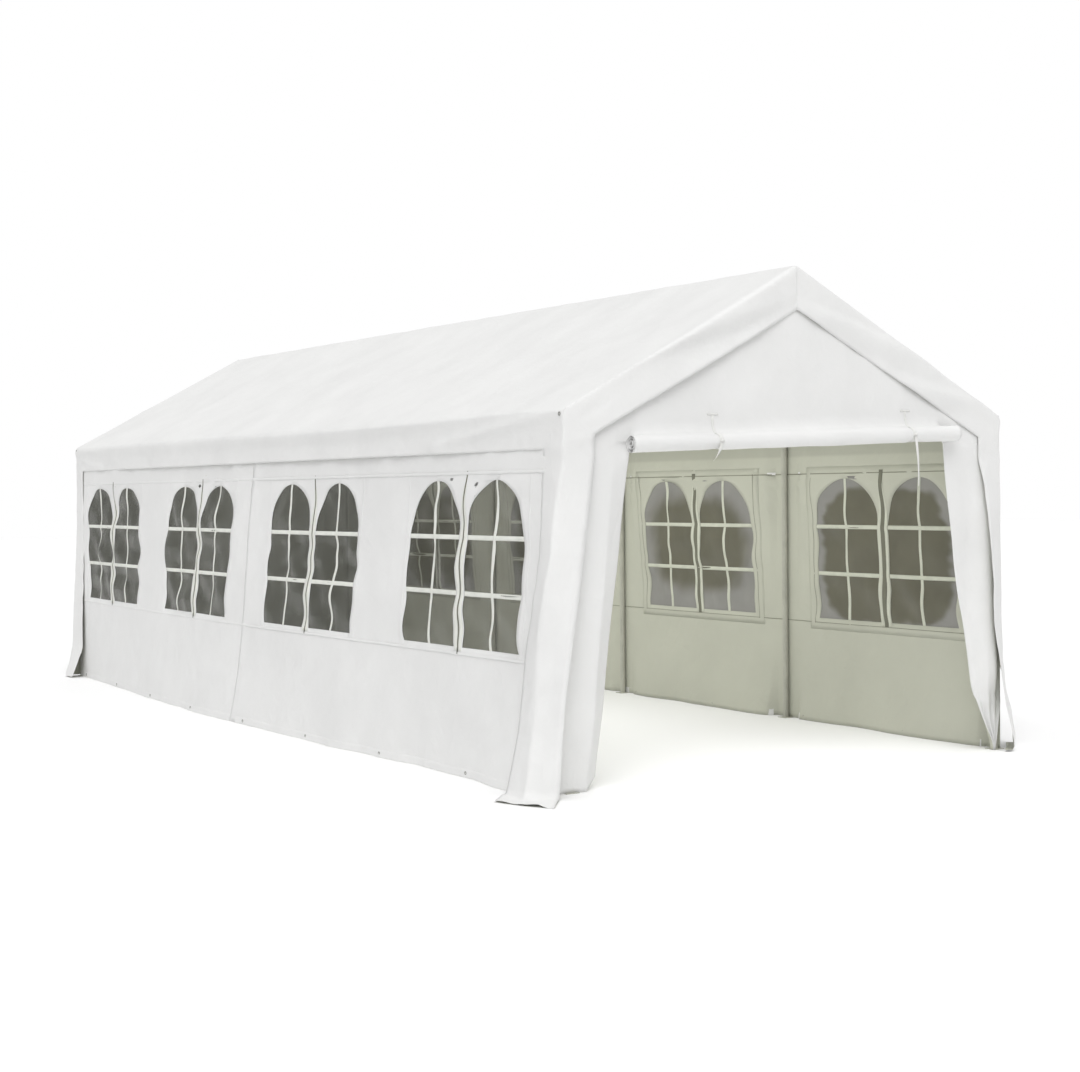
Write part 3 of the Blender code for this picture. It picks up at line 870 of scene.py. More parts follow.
def flap_legs(flap, z):
    """Corner of a flap at each height, and the directions of its two legs from there.

    The edges come from the table. The corner is where circles of the legs' lengths about the two
    edges meet, on the outer side: along = (a^2 - b^2 + chord^2) / (2 chord), and
    out = sqrt(a^2 - along^2).
    """
    heights, *columns = zip(*flap)
    side_x, side_y, gable_x, gable_y = (flowing(z, heights, column, 0.03) for column in columns)
    chord = np.hypot(gable_x - side_x, gable_y - side_y)
    unit_x, unit_y = (gable_x - side_x) / chord, (gable_y - side_y) / chord
    along = (FLAP_SIDE_LEG**2 - FLAP_GABLE_LEG**2 + chord**2) / (2 * chord)
    out = np.sqrt(np.clip(FLAP_SIDE_LEG**2 - along**2, 0.0, None))
    corner = np.stack([side_x + along * unit_x + out * unit_y, side_y + along * unit_y - out * unit_x])
    side = (np.stack([side_x, side_y]) - corner) / FLAP_SIDE_LEG
    gable = (np.stack([gable_x, gable_y]) - corner) / FLAP_GABLE_LEG
    return corner, side, gable


def cover_surface(points, sizes):
    """Outer face of the cover from points of its sharp outline, and the outward normals.

    The edges are rounded, the folds are added along the normal, and below the hanging edge the
    two legs at a corner follow its flap. Cloth longer than the height lies on the ground.
    """
    points, normals, weights = soften(points)
    side = weights[..., 0] + weights[..., 1]
    gable = weights[..., 2] + weights[..., 3]
    slope = weights[..., 4] + weights[..., 5]
    relief = slope * roof_relief(points, sizes)
    relief += side * side_relief(points, sizes) + gable * gable_relief(points, sizes)
    z = points[..., 2]
    low = smooth_share(VALANCE_Z - z, 0.0, 1.6) * smooth_share(z, -0.06, 0.10)
    relief += low * (0.005 * ripple(points, (0.16, 0.16, 1.3), 41) + 0.003)
    final = points + normals * relief[..., None]
    for (one, other), flap in FLAPS.items():
        here = (points[..., 0] * one > 0) & (points[..., 1] * other > 0) & (z < VALANCE_Z)
        corner, along_side, along_gable = flap_legs(flap, z[here])
        inset_x = HALF_WIDTH - np.abs(points[here, 0])
        inset_y = HALF_LENGTH - np.abs(points[here, 1])
        out_side = np.stack([-along_side[1], along_side[0]])
        out_gable = np.stack([along_gable[1], -along_gable[0]])
        out = np.abs(normals[here, 0]) * out_side + np.abs(normals[here, 1]) * out_gable
        out /= np.maximum(np.hypot(*out), 1e-6)
        flat = corner + inset_y * along_side + inset_x * along_gable + relief[here] * out
        final[here, 0] = one * flat[0]
        final[here, 1] = other * flat[1]
    height = final[..., 2]
    lying = 0.004 + 0.012 * np.log1p(np.exp(np.clip((height - 0.004) / 0.012, -30, 30)))
    waves = 0.006 * (1 + ripple(points, (0.12, 0.12, 0.3), 43)) * smooth_share(-height, 0.0, 0.06)
    final[..., 2] = np.where(height < 0.3, lying + waves, height)
    return final, normals


def cover_grids(sizes):
    """Grids of the whole cover: slopes, hanging edges, chevrons and corner flaps."""
    step = sizes.grid_step
    near = (0.005, 0.011, 0.020)
    inner_x = spaced(0.0, CHEVRON_X, step, near)
    outer_x = spaced(CHEVRON_X, HALF_WIDTH, 0.030, (), near)
    across = np.concatenate([inner_x[:-1], outer_x])
    flap_y = spaced(HALF_LENGTH - FLAP_SIDE_LEG, HALF_LENGTH, 0.030, (), near)
    half_y = spaced(0.0, HALF_LENGTH - FLAP_SIDE_LEG, step)
    along = np.concatenate([half_y[:-1], flap_y])
    along = np.concatenate([-along[:0:-1], along])
    shares = np.concatenate([[0.0, 0.02, 0.05, 0.09], np.linspace(0.15, 1.0, 13)])
    kept = len(shares) - 4
    upper = np.interp(np.arange(kept + 1), np.arange(len(shares)), shares)
    upper = upper / upper[-1]
    lower = np.linspace(0.0, 1.0, 4)[1:]
    grids = []

    def add(x, y, z, outward, uv):
        x, y, z = np.broadcast_arrays(x, y, z)
        placed, _ = cover_surface(np.stack([x, y, z], axis=-1), sizes)
        grids.append(patch(placed, np.stack(np.broadcast_arrays(*uv), axis=-1), outward))

    for sign in (-1, 1):
        x = across[:, None]
        y = along[None, :]
        run = x * SLANT
        add(sign * x, y, roof_z(x), (sign * SLOPE, 0, 1), (run, y))
        depth = shares[:, None] * (EAVE_Z - VALANCE_Z)
        edge = HALF_WIDTH * SLANT + depth
        add(sign * HALF_WIDTH, y, EAVE_Z - depth, (sign, 0, 0), (edge, y))
    corner_z = roof_z(CHEVRON_X)
    chevron = np.concatenate(
        [
            corner_z - upper * (corner_z - CHEVRON_CORNER_Z),
            CHEVRON_CORNER_Z - lower * (CHEVRON_CORNER_Z - VALANCE_Z),
        ]
    )
    outer_rows = EAVE_Z - shares * (EAVE_Z - VALANCE_Z)
    for end in (-1, 1):
        for sign in (-1, 1):
            x = inner_x[None, :]
            foot = CHEVRON_APEX_Z - (CHEVRON_APEX_Z - CHEVRON_CORNER_Z) * x / CHEVRON_X
            z = roof_z(x) - upper[:, None] * (roof_z(x) - foot)
            add(sign * x, end * HALF_LENGTH, z, (0, end, 0), (x, z))
            x = outer_x[None, :]
            t = (x - CHEVRON_X) / (HALF_WIDTH - CHEVRON_X)
            z = (1 - t) * chevron[:, None] + t * outer_rows[:, None]
            add(sign * x, end * HALF_LENGTH, z, (0, end, 0), (x, z))
            z = spaced(FLAPS[sign, end][-1][0], VALANCE_Z, 0.035, (0.012,))[::-1, None]
            add(sign * x, end * HALF_LENGTH, z, (0, end, 0), (x, z))
            y = flap_y[None, :]
            add(sign * HALF_WIDTH, end * y, z, (sign, 0, 0), (y, z))
    return grids


def add_cover(sizes, colours):
    """The one-piece cover over the roof, with its hanging edges and corner flaps."""
    nodes = [f"roof_slope_{side}" for side in ("left", "right")]
    nodes += [f"side_valance_{side}" for side in ("left", "right")]
    nodes += [f"gable_valance_{end}" for end in ("front", "back")]
    nodes += [f"corner_flap_{end}_{side}" for end in ("front", "back") for side in ("left", "right")]
    cover = add_piece(
        "roof_cover",
        cover_grids(sizes),
        sheet_materials(colours),
        nodes,
        sizes.cloth,
    )
    return cover


def wall_surface(sign, y, z, sizes, inward=0.0):
    """Outer face of a side wall at Y and Z, moved inwards by a distance.

    x = plumb wall + lean + hem pull + dents. Between two bars the windows' cloth and film bulge as
    sin(pi t), with t from one bar to the next, and the bars stay straight.
    """
    y, z = np.broadcast_arrays(np.asarray(y, float), np.asarray(z, float))
    places = np.stack([np.full_like(y, sign * WALL_X), y, z], axis=-1)
    below = np.clip((LEAN_TOP_Z - z) / LEAN_TOP_Z, 0.0, 1.0)
    post = np.min([np.abs(y - place) for place in FRAME_Y], axis=0)
    free = 1 - np.exp(-((post / 0.16) ** 2))
    foot = np.clip(1 - z / 0.55, 0.0, 1.0) ** 2
    if sign < 0:
        pegs, pull = zip(*LEFT_HEM)
        out = lean_at(sign, y) * below + flowing(y, pegs, pull, 0.25) * foot
        free = np.maximum(free, smooth_share(below * lean_at(sign, y), 0.0, 0.03))
    else:
        heights, belly = zip(*RIGHT_BELLY)
        share = free * np.where(y < -2.0, 0.65, 1.0)
        out = -flowing(z, heights, belly, 0.06) * share
        out -= 0.055 * foot * free * (1 + 0.6 * ripple(places, (1.0, 1.1, 1.0), 51))
    hanging = smooth_share(WALL_TOP_Z - z, 0.02, 0.35)
    out = out + sizes.wall_dent * hanging * free * 0.8 * ripple(places, (1.0, 0.70, 0.75), 52)
    out += sizes.wall_crinkle * hanging * free * creases(places, (1.0, 0.30, 0.34), 53)
    out += 0.006 * foot * ripple(places, (1.0, 0.40, 1.5), 54)
    levels = (SILL_Z,) + BAR_HEIGHTS + (ARCH_TOP_Z + 0.03,)
    for number, middle in enumerate(PAIR_MIDDLES):
        near = np.exp(-((np.maximum(np.abs(y - middle) - 0.62, 0) / 0.10) ** 2))
        for pane, (low, high) in enumerate(zip(levels[:-1], levels[1:])):
            t = np.clip((z - low) / (high - low), 0.0, 1.0)
            seed = 60 + 4 * number + pane + (30 if sign > 0 else 0)
            swell = ripple(places * (0, 1, 0), (1.0, 0.42, 1.0), seed, 8)
            twist = ripple(places * (0, 1, 0), (1.0, 0.30, 1.0), seed + 100, 8)
            bulge = swell * np.sin(math.pi * t) + 0.6 * twist * np.sin(2 * math.pi * t)
            wobble = ripple(places * (0, 1, 1), (1.0, 0.9, 0.20), seed + 200, 6)
            out += sizes.pane_wave * near * (bulge + 0.35 * wobble * np.sin(math.pi * t) ** 0.5)
    if sign > 0:
        out = np.where(free < 0.5, np.maximum(out, 0.0), out)
    x = sign * (WALL_X + out - inward)
    return np.stack([x, y, z], axis=-1)


def arch_half(z):
    """Half the width of a window at a height: straight sides under a half circle."""
    rise = np.clip((z - SPRING_Z) / (ARCH_TOP_Z - SPRING_Z), 0.0, 1.0)
    return WINDOW_HALF * np.sqrt(np.clip(1 - rise**2, 0.0, 1.0))


def wall_grids(sign, low, high, sizes, lift=0.0, foot=FOOT_Z, top=WALL_TOP_Z):
    """Grids of a wall sheet. Each window's hole is left open between two grids.

    A grid runs from one window's edge to the next, y = left + t * (right - left), and under the
    sill a further grid closes each window's width.
    """
    step = sizes.grid_step
    angles = np.linspace(0.0, math.pi / 2, 14)
    levels = np.concatenate(
        [
            spaced(foot, SILL_Z, step),
            spaced(SILL_Z, SPRING_Z, step * 0.8)[1:-1],
            SPRING_Z + (ARCH_TOP_Z - SPRING_Z) * np.sin(angles),
            spaced(ARCH_TOP_Z, top, step)[1:],
        ]
    )
    half = arch_half(levels)[:, None]
    half[levels >= ARCH_TOP_Z] = 0.0
    windows = [m + side * WINDOW_OFFSET for m in PAIR_MIDDLES for side in (-1, 1)]
    windows = [middle for middle in windows if low < middle < high]
    edges = [np.full_like(half, low)]
    for middle in windows:
        edges += [middle - half, middle + half]
    edges.append(np.full_like(half, high))
    z = levels[:, None]
    outward = (sign, 0, 0)
    grids = []
    for left, right in zip(edges[::2], edges[1::2]):
        t = np.linspace(0, 1, max(6, round(float(np.mean(right - left)) / step)))[None, :]
        points = wall_surface(sign, left + t * (right - left), z, sizes, -lift)
        grids.append(patch(points, points[..., 1:], outward))
    under = levels[levels <= SILL_Z + 1e-6][:, None]
    for middle in windows:
        y = np.linspace(middle - WINDOW_HALF, middle + WINDOW_HALF, 20)[None, :]
        points = wall_surface(sign, y, under, sizes, -lift)
        grids.append(patch(points, points[..., 1:], outward))
    return grids


def add_side_walls(sizes, colours):
    """Four wall sheets with their arched window holes; the front ones overlap the back ones."""
    for side, sign in (("left", -1), ("right", 1)):
        for half, low, high in (("front", -WALL_END_Y, WALL_LAP), ("back", 0.0, WALL_END_Y)):
            grids = wall_grids(sign, low, high, sizes)
            if half == "front":
                for grid in grids:
                    near = smooth_share(grid["points"][..., 1], -0.12, -0.01)
                    grid["points"][..., 0] += sign * 0.0022 * near
            wall = add_piece(
                f"wall_sheet_{side}_{half}",
                grids,
                sheet_materials(colours),
                [f"side_wall_{side}_{half}"],
                sizes.cloth,
            )


def band(low, high, step):
    """Places across a strip: its borders, close to them, and between."""
    return spaced(low, high, step, (0.0015,), (0.0015,))


def wall_strip(sign, y, z, lift, sizes, sink=0.0):
    """A strip on a side wall at places along it and heights; its long borders lie deeper by sink."""
    along, up = np.meshgrid(y, z)
    long_way = np.ptp(y) > np.ptp(z)
    depth = np.zeros_like(along)
    if sink:
        if long_way:
            depth[[0, -1], :] = sink
        else:
            depth[:, [0, -1]] = sink
    points = wall_surface(sign, along, up, sizes, depth - lift)
    uv = points[..., [2, 1]] if long_way else points[..., [1, 2]]
    return patch(points, uv, (sign, 0, 0))


def window_bars(sign, middle, lift, sizes):
    """Two bars across each arch of a pair and one up it."""
    strips = []
    half = sizes.bar_width / 2
    for place in (middle - WINDOW_OFFSET, middle + WINDOW_OFFSET):
        for height in BAR_HEIGHTS:
            y = spaced(place - WINDOW_HALF - 0.006, place + WINDOW_HALF + 0.006, 0.0125)
            z = np.linspace(height - half, height + half, 4)
            strips.append(wall_strip(sign, y, z, lift, sizes))
        y = np.linspace(place - half, place + half, 4)
        z = spaced(SILL_Z - 0.006, ARCH_TOP_Z + 0.004, 0.0125)
        strips.append(wall_strip(sign, y, z, lift + 0.0003, sizes))
    return strips


def add_windows(sizes, colours):
    """Per pair a film behind the arches, bars on both of its faces and a facing inside."""
    outer = finish(ribbed_tape, "coated_tape_cream", colours.edging, 0.004)
    # Bars inside: the cream tape's painted-shade copy.
    inner = finish(ribbed_tape, "coated_tape_inside", colours.edging_shaded, 0.004)
    # The facing inside uses the inside colour, which is painted shade.
    lining = sheet_materials(colours)[1]
    for side, sign in (("left", -1), ("right", 1)):
        for number, middle in enumerate(PAIR_MIDDLES, start=1):
            if side == "right":
                facts = (film_dark_middle, "pvc_film_dulled", colours.film, colours.film_pale_margin, 0.94)
            elif number == 1:
                facts = (clear_film, "pvc_film_clear", colours.film_left, 0.40)
            else:
                facts = (clear_film, "pvc_film_smoky", colours.film_left, 0.66)
            reach = WINDOW_OFFSET + WINDOW_HALF + FILM_LAP
            z_low, z_high = SILL_Z - FILM_LAP, ARCH_TOP_Z + FILM_LAP
            y = spaced(middle - reach, middle + reach, 0.02)
            grid = wall_strip(sign, y, spaced(z_low, z_high, 0.02), -FILM_LAYER, sizes)
            film = add_piece(
                f"film_{side}_{number}",
                [grid],
                [finish(*facts)],
                [f"window_film_{side}_{number}"],
                sizes.film,
            )
            mark_middle(film, number, middle)
            bars = window_bars(sign, middle, -OUTER_BAR, sizes)
            add_piece(f"window_bars_{side}_{number}", bars, [outer], (), 0.0004, False)
            bars = window_bars(sign, middle, -INNER_BAR - 0.0003, sizes)
            add_piece(f"inner_bars_{side}_{number}", bars, [inner], (), 0.0004, False)
            reach = SEAM_OFFSET + 0.05
            low, high = SEAM_HEIGHTS[0] - 0.04, SEAM_HEIGHTS[1] + 0.04
            grids = wall_grids(sign, middle - reach, middle + reach, sizes, -FACING, low, high)
            for grid in grids:
                x, y, z = np.moveaxis(grid["points"], -1, 0)
                rim = smooth_share(np.abs(y - middle), reach - 0.04, reach)
                rim = np.maximum(rim, smooth_share(np.abs(z - (low + high) / 2), 0.495, 0.535))
                x += sign * rim * (FACING - sizes.cloth - 0.0002)
            name = f"window_facing_{side}_{number}"
            facing = add_piece(name, grids, [lining], (), 0.0006)


# Per pair of the right wall: half width, half height and middle height of the film's darker part, blur
DARK_MIDDLES = (
    (0.610, 0.430, 1.115, 0.030),
    (0.560, 0.330, 1.160, 0.110),
    (0.570, 0.360, 1.140, 0.090),
    (0.600, 0.400, 1.120, 0.050),
)


def mark_middle(film, number, middle):
    """Attribute on a film: over 0.5 in its darker part and under 0.5 outside.

    With u and v the distances from the part's middle over its half sizes, it is
    0.5 + (1 - (|u|^3.4 + |v|^3.4)^(1 / 3.4) + ripple) / (2 * blur / half width), from 0 to 1.
    """
    mesh = film.data
    places = np.zeros(len(mesh.vertices) * 3, np.float32)
    mesh.vertices.foreach_get("co", places)
    places = places.reshape(-1, 3).astype(float)
    half_width, half_height, height, blur = DARK_MIDDLES[number - 1]
    u = np.abs(places[:, 1] - middle) / half_width
    v = np.abs(places[:, 2] - height) / half_height
    near = 1 - (u**3.4 + v**3.4) ** (1 / 3.4)
    near += 0.045 * ripple(places * (0, 1, 1), (1.0, 0.30, 0.30), 400 + number, 8)
    near += 0.020 * ripple(places * (0, 1, 1), (1.0, 0.09, 0.09), 410 + number, 8)
    value = np.clip(0.5 + near / (2 * blur / half_width), 0, 1)
    layer = mesh.attributes.new("middle", "FLOAT", "POINT")
    layer.data.foreach_set("value", value.astype(np.float32))


def zip_edging(sign, middle, start, width, lift, sizes):
    """Edging beside a zip, from the sill up to the top of the arches, where it narrows."""
    strips = []
    z = spaced(SILL_Z - 0.02, SPRING_Z + 0.27, 0.0125)[:, None]
    narrow = width * (1 - 0.75 * smooth_share(z, SPRING_Z, SPRING_Z + 0.27))
    for turn in (-1, 1):
        y = middle + turn * (start + np.linspace(0, 1, 5)[None, :] * narrow)
        points = wall_surface(sign, y, z, sizes, -lift)
        strips.append(patch(points, points[..., 1:], (sign, 0, 0)))
    return strips


def add_zips(sizes, colours):
    """A zip between the two arches of each pair, with edging beside it on both faces."""
    tape = finish(ribbed_tape, "nylon_zip_grey", colours.zip, 0.003)
    outer = finish(ribbed_tape, "coated_tape_cream", colours.edging, 0.004)
    # Edging inside: the cream tape's painted-shade copy.
    inner = finish(ribbed_tape, "coated_tape_inside", colours.edging_shaded, 0.004)
    metal = finish(plated_metal, "plated_metal")
    deep = -FACING - 0.0016
    for side, sign in (("left", -1), ("right", 1)):
        strips, edges, edges_inside, pulls = [], [], [], []
        for middle in PAIR_MIDDLES:
            z = spaced(SEAM_HEIGHTS[0] + 0.008, SEAM_HEIGHTS[1] + 0.012, 0.0125)
            for half, lift in ((sizes.zip_width / 2, 0.0016), (0.003, 0.0026)):
                y = np.linspace(middle - half, middle + half, 4)
                strips.append(wall_strip(sign, y, z, lift, sizes))
            half = sizes.zip_inside / 2
            y = np.linspace(middle - half, middle + half, 5)
            strips.append(wall_strip(sign, y, z, deep, sizes))
            start = sizes.zip_width / 2 + 0.001
            edges += zip_edging(sign, middle, start, sizes.edging_width, 0.0012, sizes)
            start = sizes.zip_inside / 2 + 0.001
            edges_inside += zip_edging(sign, middle, start, 0.028, deep - 0.0003, sizes)
            pulls.append(zip_pull(sign, middle, z[0] + 0.012, sizes))
        add_piece(f"zips_{side}", strips, [tape], (), 0.0008, False)
        add_piece(f"zip_edging_{side}", edges, [outer], (), 0.0005, False)
        add_piece(f"zip_edging_inside_{side}", edges_inside, [inner], (), 0.0005, False)
        add_piece(f"zip_pulls_{side}", pulls, [metal], (), 0.0012, False)


def zip_pull(sign, middle, z, sizes):
    """The slider's tab: a narrow plate that widens downwards."""
    heights = np.linspace(z + 0.012, z - 0.022, 8)[:, None]
    half = 0.0035 + 0.002 * np.linspace(0, 1, 8)[:, None] ** 2
    y = middle + half * np.linspace(-1, 1, 4)[None, :]
    points = wall_surface(sign, y, heights, sizes, -0.0055)
    return patch(points, points[..., 1:], (sign, 0, 0))


def add_seams(sizes, colours):
    """Seams of the side walls: lapped ones and a hem outside, thread lines inside."""
    cloth = sheet_materials(colours)[0]
    thread = finish(ribbed_tape, "polyester_thread", colours.thread, 0.003)
    half = sizes.seam_width / 2
    for side, sign in (("left", -1), ("right", 1)):
        strips, lines = [], []
        for height in SEAM_HEIGHTS:
            for low, high in ((-WALL_END_Y, WALL_LAP), (WALL_LAP + 0.002, WALL_END_Y)):
                y = spaced(low, high, 0.0125)
                z = band(height - half, height + half, 0.006)
                lift = 0.0013 + (0.0022 if high == WALL_LAP else 0.0)
                strips.append(wall_strip(sign, y, z, lift, sizes, 0.0016))
        for middle in PAIR_MIDDLES:
            for turn in (-1, 1):
                place = middle + turn * SEAM_OFFSET
                y = band(place - half, place + half, 0.006)
                z = spaced(*SEAM_HEIGHTS, 0.0125)
                strips.append(wall_strip(sign, y, z, 0.0012, sizes, 0.0016))
                y = np.linspace(place - turn * 0.006 - 0.0025, place - turn * 0.006 + 0.0025, 3)
                lines.append(wall_strip(sign, y, z, -FACING - 0.0010, sizes))
        for height, width in zip(SEAM_HEIGHTS, (0.004, 0.006)):
            inset = 0.006 if height < 1 else -0.006
            z = np.linspace(height + inset - width / 2, height + inset + width / 2, 3)
            ends = [m + turn * SEAM_OFFSET for m in PAIR_MIDDLES for turn in (-1, 1)]
            ends = [-WALL_END_Y] + ends + [WALL_END_Y]
            for number, (low, high) in enumerate(zip(ends[:-1], ends[1:])):
                deep = FACING if number % 2 else sizes.cloth
                y = spaced(low, high, 0.0125)
                lines.append(wall_strip(sign, y, z, -deep - 0.0011, sizes))
        y = spaced(-WALL_END_Y, WALL_END_Y, 0.0125)
        z = band(FOOT_Z, 0.045, 0.012)
        hem = wall_strip(sign, y, z, 0.0011, sizes)
        hem["points"][-1, :, 0] -= sign * 0.0014
        strips.append(hem)
        add_piece(f"wall_seams_{side}", strips, [cloth], (), 0.0005, False)
        add_piece(f"wall_thread_{side}", lines, [thread], (), 0.0004, False)


def end_relief(x, z, end, sizes):
    """How far a gable cloth stands out: shallow dents that fade towards its sewn top."""
    places = np.stack([x, np.full_like(x, end * END_Y), z], axis=-1)
    hanging = smooth_share(roof_z(x) - z, 0.05, 0.6)
    low = smooth_share(1.6 - z, 0.0, 1.5)
    out = 0.0035 * hanging * ripple(places, (0.7, 1.0, 0.8), 201 + end)
    out += 0.0022 * hanging * creases(places, (0.36, 1.0, 0.5), 205 + end)
    out += 0.007 * low * ripple(places, (0.30, 1.0, 1.6), 207 + end)
    return out


def end_surface(end, x, z, sizes, lift=0.0):
    """Outer face of a gable cloth at X and Z."""
    x, z = np.broadcast_arrays(np.asarray(x, float), np.asarray(z, float))
    out = end_relief(x, z, end, sizes) + lift
    return np.stack([x, end * (END_Y + out), z], axis=-1)


def gable_top(x):
    """Top edge of an end cloth, just under the roof."""
    return roof_z(x) - 0.0042


def gable_grid(end, columns, foot, sizes):
    """Cloth between a foot line and the roof: z = foot + t * (top - foot)."""
    x = columns[None, :]
    t = spaced(0.0, 1.0, 0.035)[:, None]
    z = foot(x) + t * (gable_top(x) - foot(x))
    points = end_surface(end, x, z, sizes)
    return patch(points, points[..., [0, 2]], (0, end, 0))


def roll_height(x):
    """Height of the rolled door's middle."""
    return np.interp(x, ROLL_ENDS_X, ROLL_ENDS_Z)


def roll_radius(x):
    """Radius of the rolled door: it narrows at each tie, most on the side away from the middle."""
    pinch = 0.0
    for place in TIE_NODES.values():
        away = (x - place) * math.copysign(1.0, place)
        pinch = pinch + np.exp(-((away / np.where(away > 0, 0.060, 0.025)) ** 2))
    return ROLL_RADIUS * (0.985 - 0.15 * pinch)


def roll_middle_y():
    return (ROLL_BOX[0].y + ROLL_BOX[1].y) / 2


def led_forward(x):
    """Share of the gable cloth that runs forward onto the rolled door: 1 along it, 0 beside it."""
    return smooth_share(x, -1.098, -1.060) * smooth_share(-x, -1.054, -1.015)


def front_surface(x, level, sizes, lift=0.0):
    """Front gable cloth at X and a level: 0 to 1 on the lead-in to the roll, 1 to 2 above it.

    On the lead-in the angle a = level * pi / 2 gives y = flat cloth - depth * (1 - sin a) and
    z = foot + LEAD_HEIGHT * (1 - cos a), a quarter of an ellipse from the top of the roll up to
    the flat cloth. Above it z grows evenly with the level.
    """
    share = led_forward(x)
    foot = PANEL_FOOT_Z + share * (roll_height(x) + roll_radius(x) - PANEL_FOOT_Z)
    angle = np.clip(level, 0, 1) * math.pi / 2
    above = np.clip(level - 1, 0, 1)
    start = foot + LEAD_HEIGHT
    z = foot + LEAD_HEIGHT * (1 - np.cos(angle)) + above * (gable_top(x) - start)
    depth = share * (-END_Y - roll_middle_y())
    out = end_relief(x, z, -1, sizes) * np.where(share > 0, np.sin(angle) ** 2, 1.0)
    forward = depth * (1 - np.sin(angle)) + lift * np.where(share > 0.5, np.sin(angle), 1.0)
    height = z + lift * share * np.cos(angle)
    return np.stack([x, -END_Y - out - forward, height], axis=-1)


def strip_left_surface(d, z, sizes):
    """Left strip of the doorway. Its inner part is folded inwards along a slanting line.

    d is the distance from the fold, below 0 on the outer part. With s(d) = (d + sqrt(d^2 + 4 c^2))
    / 2 a point is fold + s(-d) * outwards + s(d) * turned, which rounds the fold. At its top it
    lies flat in the gable cloth.
    """
    heights, fold_x, edge_x, turned_in, lifted = (np.array(row) for row in zip(*LEFT_STRIP))
    top = smooth_share(PANEL_FOOT_Z - z, 0.0, 0.16)
    fold = flowing(z, heights, fold_x, 0.10)
    edge = flowing(z, heights, edge_x, 0.10)
    inwards = flowing(z, heights, turned_in, 0.10) * top
    lift = flowing(z, heights, lifted, 0.06) * top
    round_off = 0.006
    outer = (-d + np.sqrt(d**2 + 4 * round_off**2)) / 2
    inner = (d + np.sqrt(d**2 + 4 * round_off**2)) / 2
    lean = lean_at(-1, np.full_like(z, -WALL_END_Y)) * np.clip(LEAN_TOP_Z - z, 0, None) / LEAN_TOP_Z
    x = fold - outer * (WALL_X + lean + fold) + inner * (edge - fold)
    height = z + inner * lift
    relief = end_relief(x, height, -1, sizes)
    relief += pleat(x, height, (-1.111, 1.80), (-1.266, 1.713), 0.016, -0.006)
    relief += pleat(x, height, (-1.141, 1.403), (-1.191, 1.285), 0.014, -0.004)
    relief *= top * 0.9 + 0.1
    return np.stack([x, -END_Y + inner * inwards - relief, height], axis=-1)


def strip_right_surface(t, z, sizes):
    """Right strip of the doorway: t from its free edge to the post, gathered at the foot.

    It swells forward under the corner flap, and folds of depth A(z) * sin(2 pi n t) grow as the
    strip narrows.
    """
    heights, left, right = zip(*RIGHT_STRIP)
    left = flowing(z, heights, left, 0.035)
    right = flowing(z, heights, right, 0.035)
    x = left + t * (right - left)
    top = smooth_share(PANEL_FOOT_Z - z, 0.0, 0.16)
    rows, _, _, _, edge_y = zip(*TURNED_FLAP)
    stand = flowing(z, rows, edge_y, 0.05) - HALF_LENGTH
    swell = 0.60 * stand * smooth_share(x, 1.22, 1.38) * smooth_share(WALL_X - x, 0.0, 0.12)
    swell *= smooth_share(z, 0.12, 0.50)
    gather = smooth_share(0.44 - (right - left), 0.10, 0.42)
    folds = gather * (0.013 * np.sin(2 * math.pi * 3.2 * t + 0.6) + 0.006 * np.sin(17 * t + 1.0))
    cross = 0.004 * np.exp(-(((z - 0.30) / 0.02) ** 2)) - 0.004 * np.exp(-(((z - 0.33) / 0.02) ** 2))
    out = (end_relief(x, z, -1, sizes) + top * (swell + folds + cross)) * (0.1 + 0.9 * top)
    return np.stack([x, -END_Y - out, z + 0.0 * x], axis=-1)


def add_front(sizes, colours):
    """One cloth over the front: the gable down to the rolled door and a strip on each side."""
    z = spaced(FOOT_Z, PANEL_FOOT_Z, sizes.grid_step * 0.8)[:, None]
    d = np.concatenate([np.linspace(-1, -0.12, 10), np.linspace(-0.08, 1, 16)])[None, :]
    left = strip_left_surface(*np.broadcast_arrays(d, z), sizes)
    t = np.linspace(0, 1, 26)[None, :]
    right = strip_right_surface(*np.broadcast_arrays(t, z), sizes)
    middle = spaced(left[-1, -1, 0], right[-1, 0, 0], sizes.grid_step, (0.01, 0.02), (0.01, 0.02))
    columns = np.concatenate([left[-1, :-1, 0], middle, right[-1, 1:, 0]])[None, :]
    level = np.concatenate([np.linspace(0, 1, 9), np.linspace(1, 2, 30)[1:]])[:, None]
    narrowed = np.clip(columns, -WALL_X, WALL_X)
    columns = columns + (narrowed - columns) * smooth_share(level, 0.0, 0.5)
    panel = front_surface(columns, level, sizes)
    panel[0, : left.shape[1]] = left[-1]
    panel[0, -right.shape[1] :] = right[-1]
    front = add_piece(
        "front_cloth",
        [
            patch(panel, panel[..., [0, 2]], (0, -1, 0)),
            patch(left, np.stack(np.broadcast_arrays(0.3 * d, z), axis=-1), (0, -1, 0)),
            patch(right, right[..., [0, 2]], (0, -1, 0)),
        ],
        sheet_materials(colours),
        ["front_gable_panel", "front_strip_left", "front_strip_right"],
        sizes.cloth,
    )


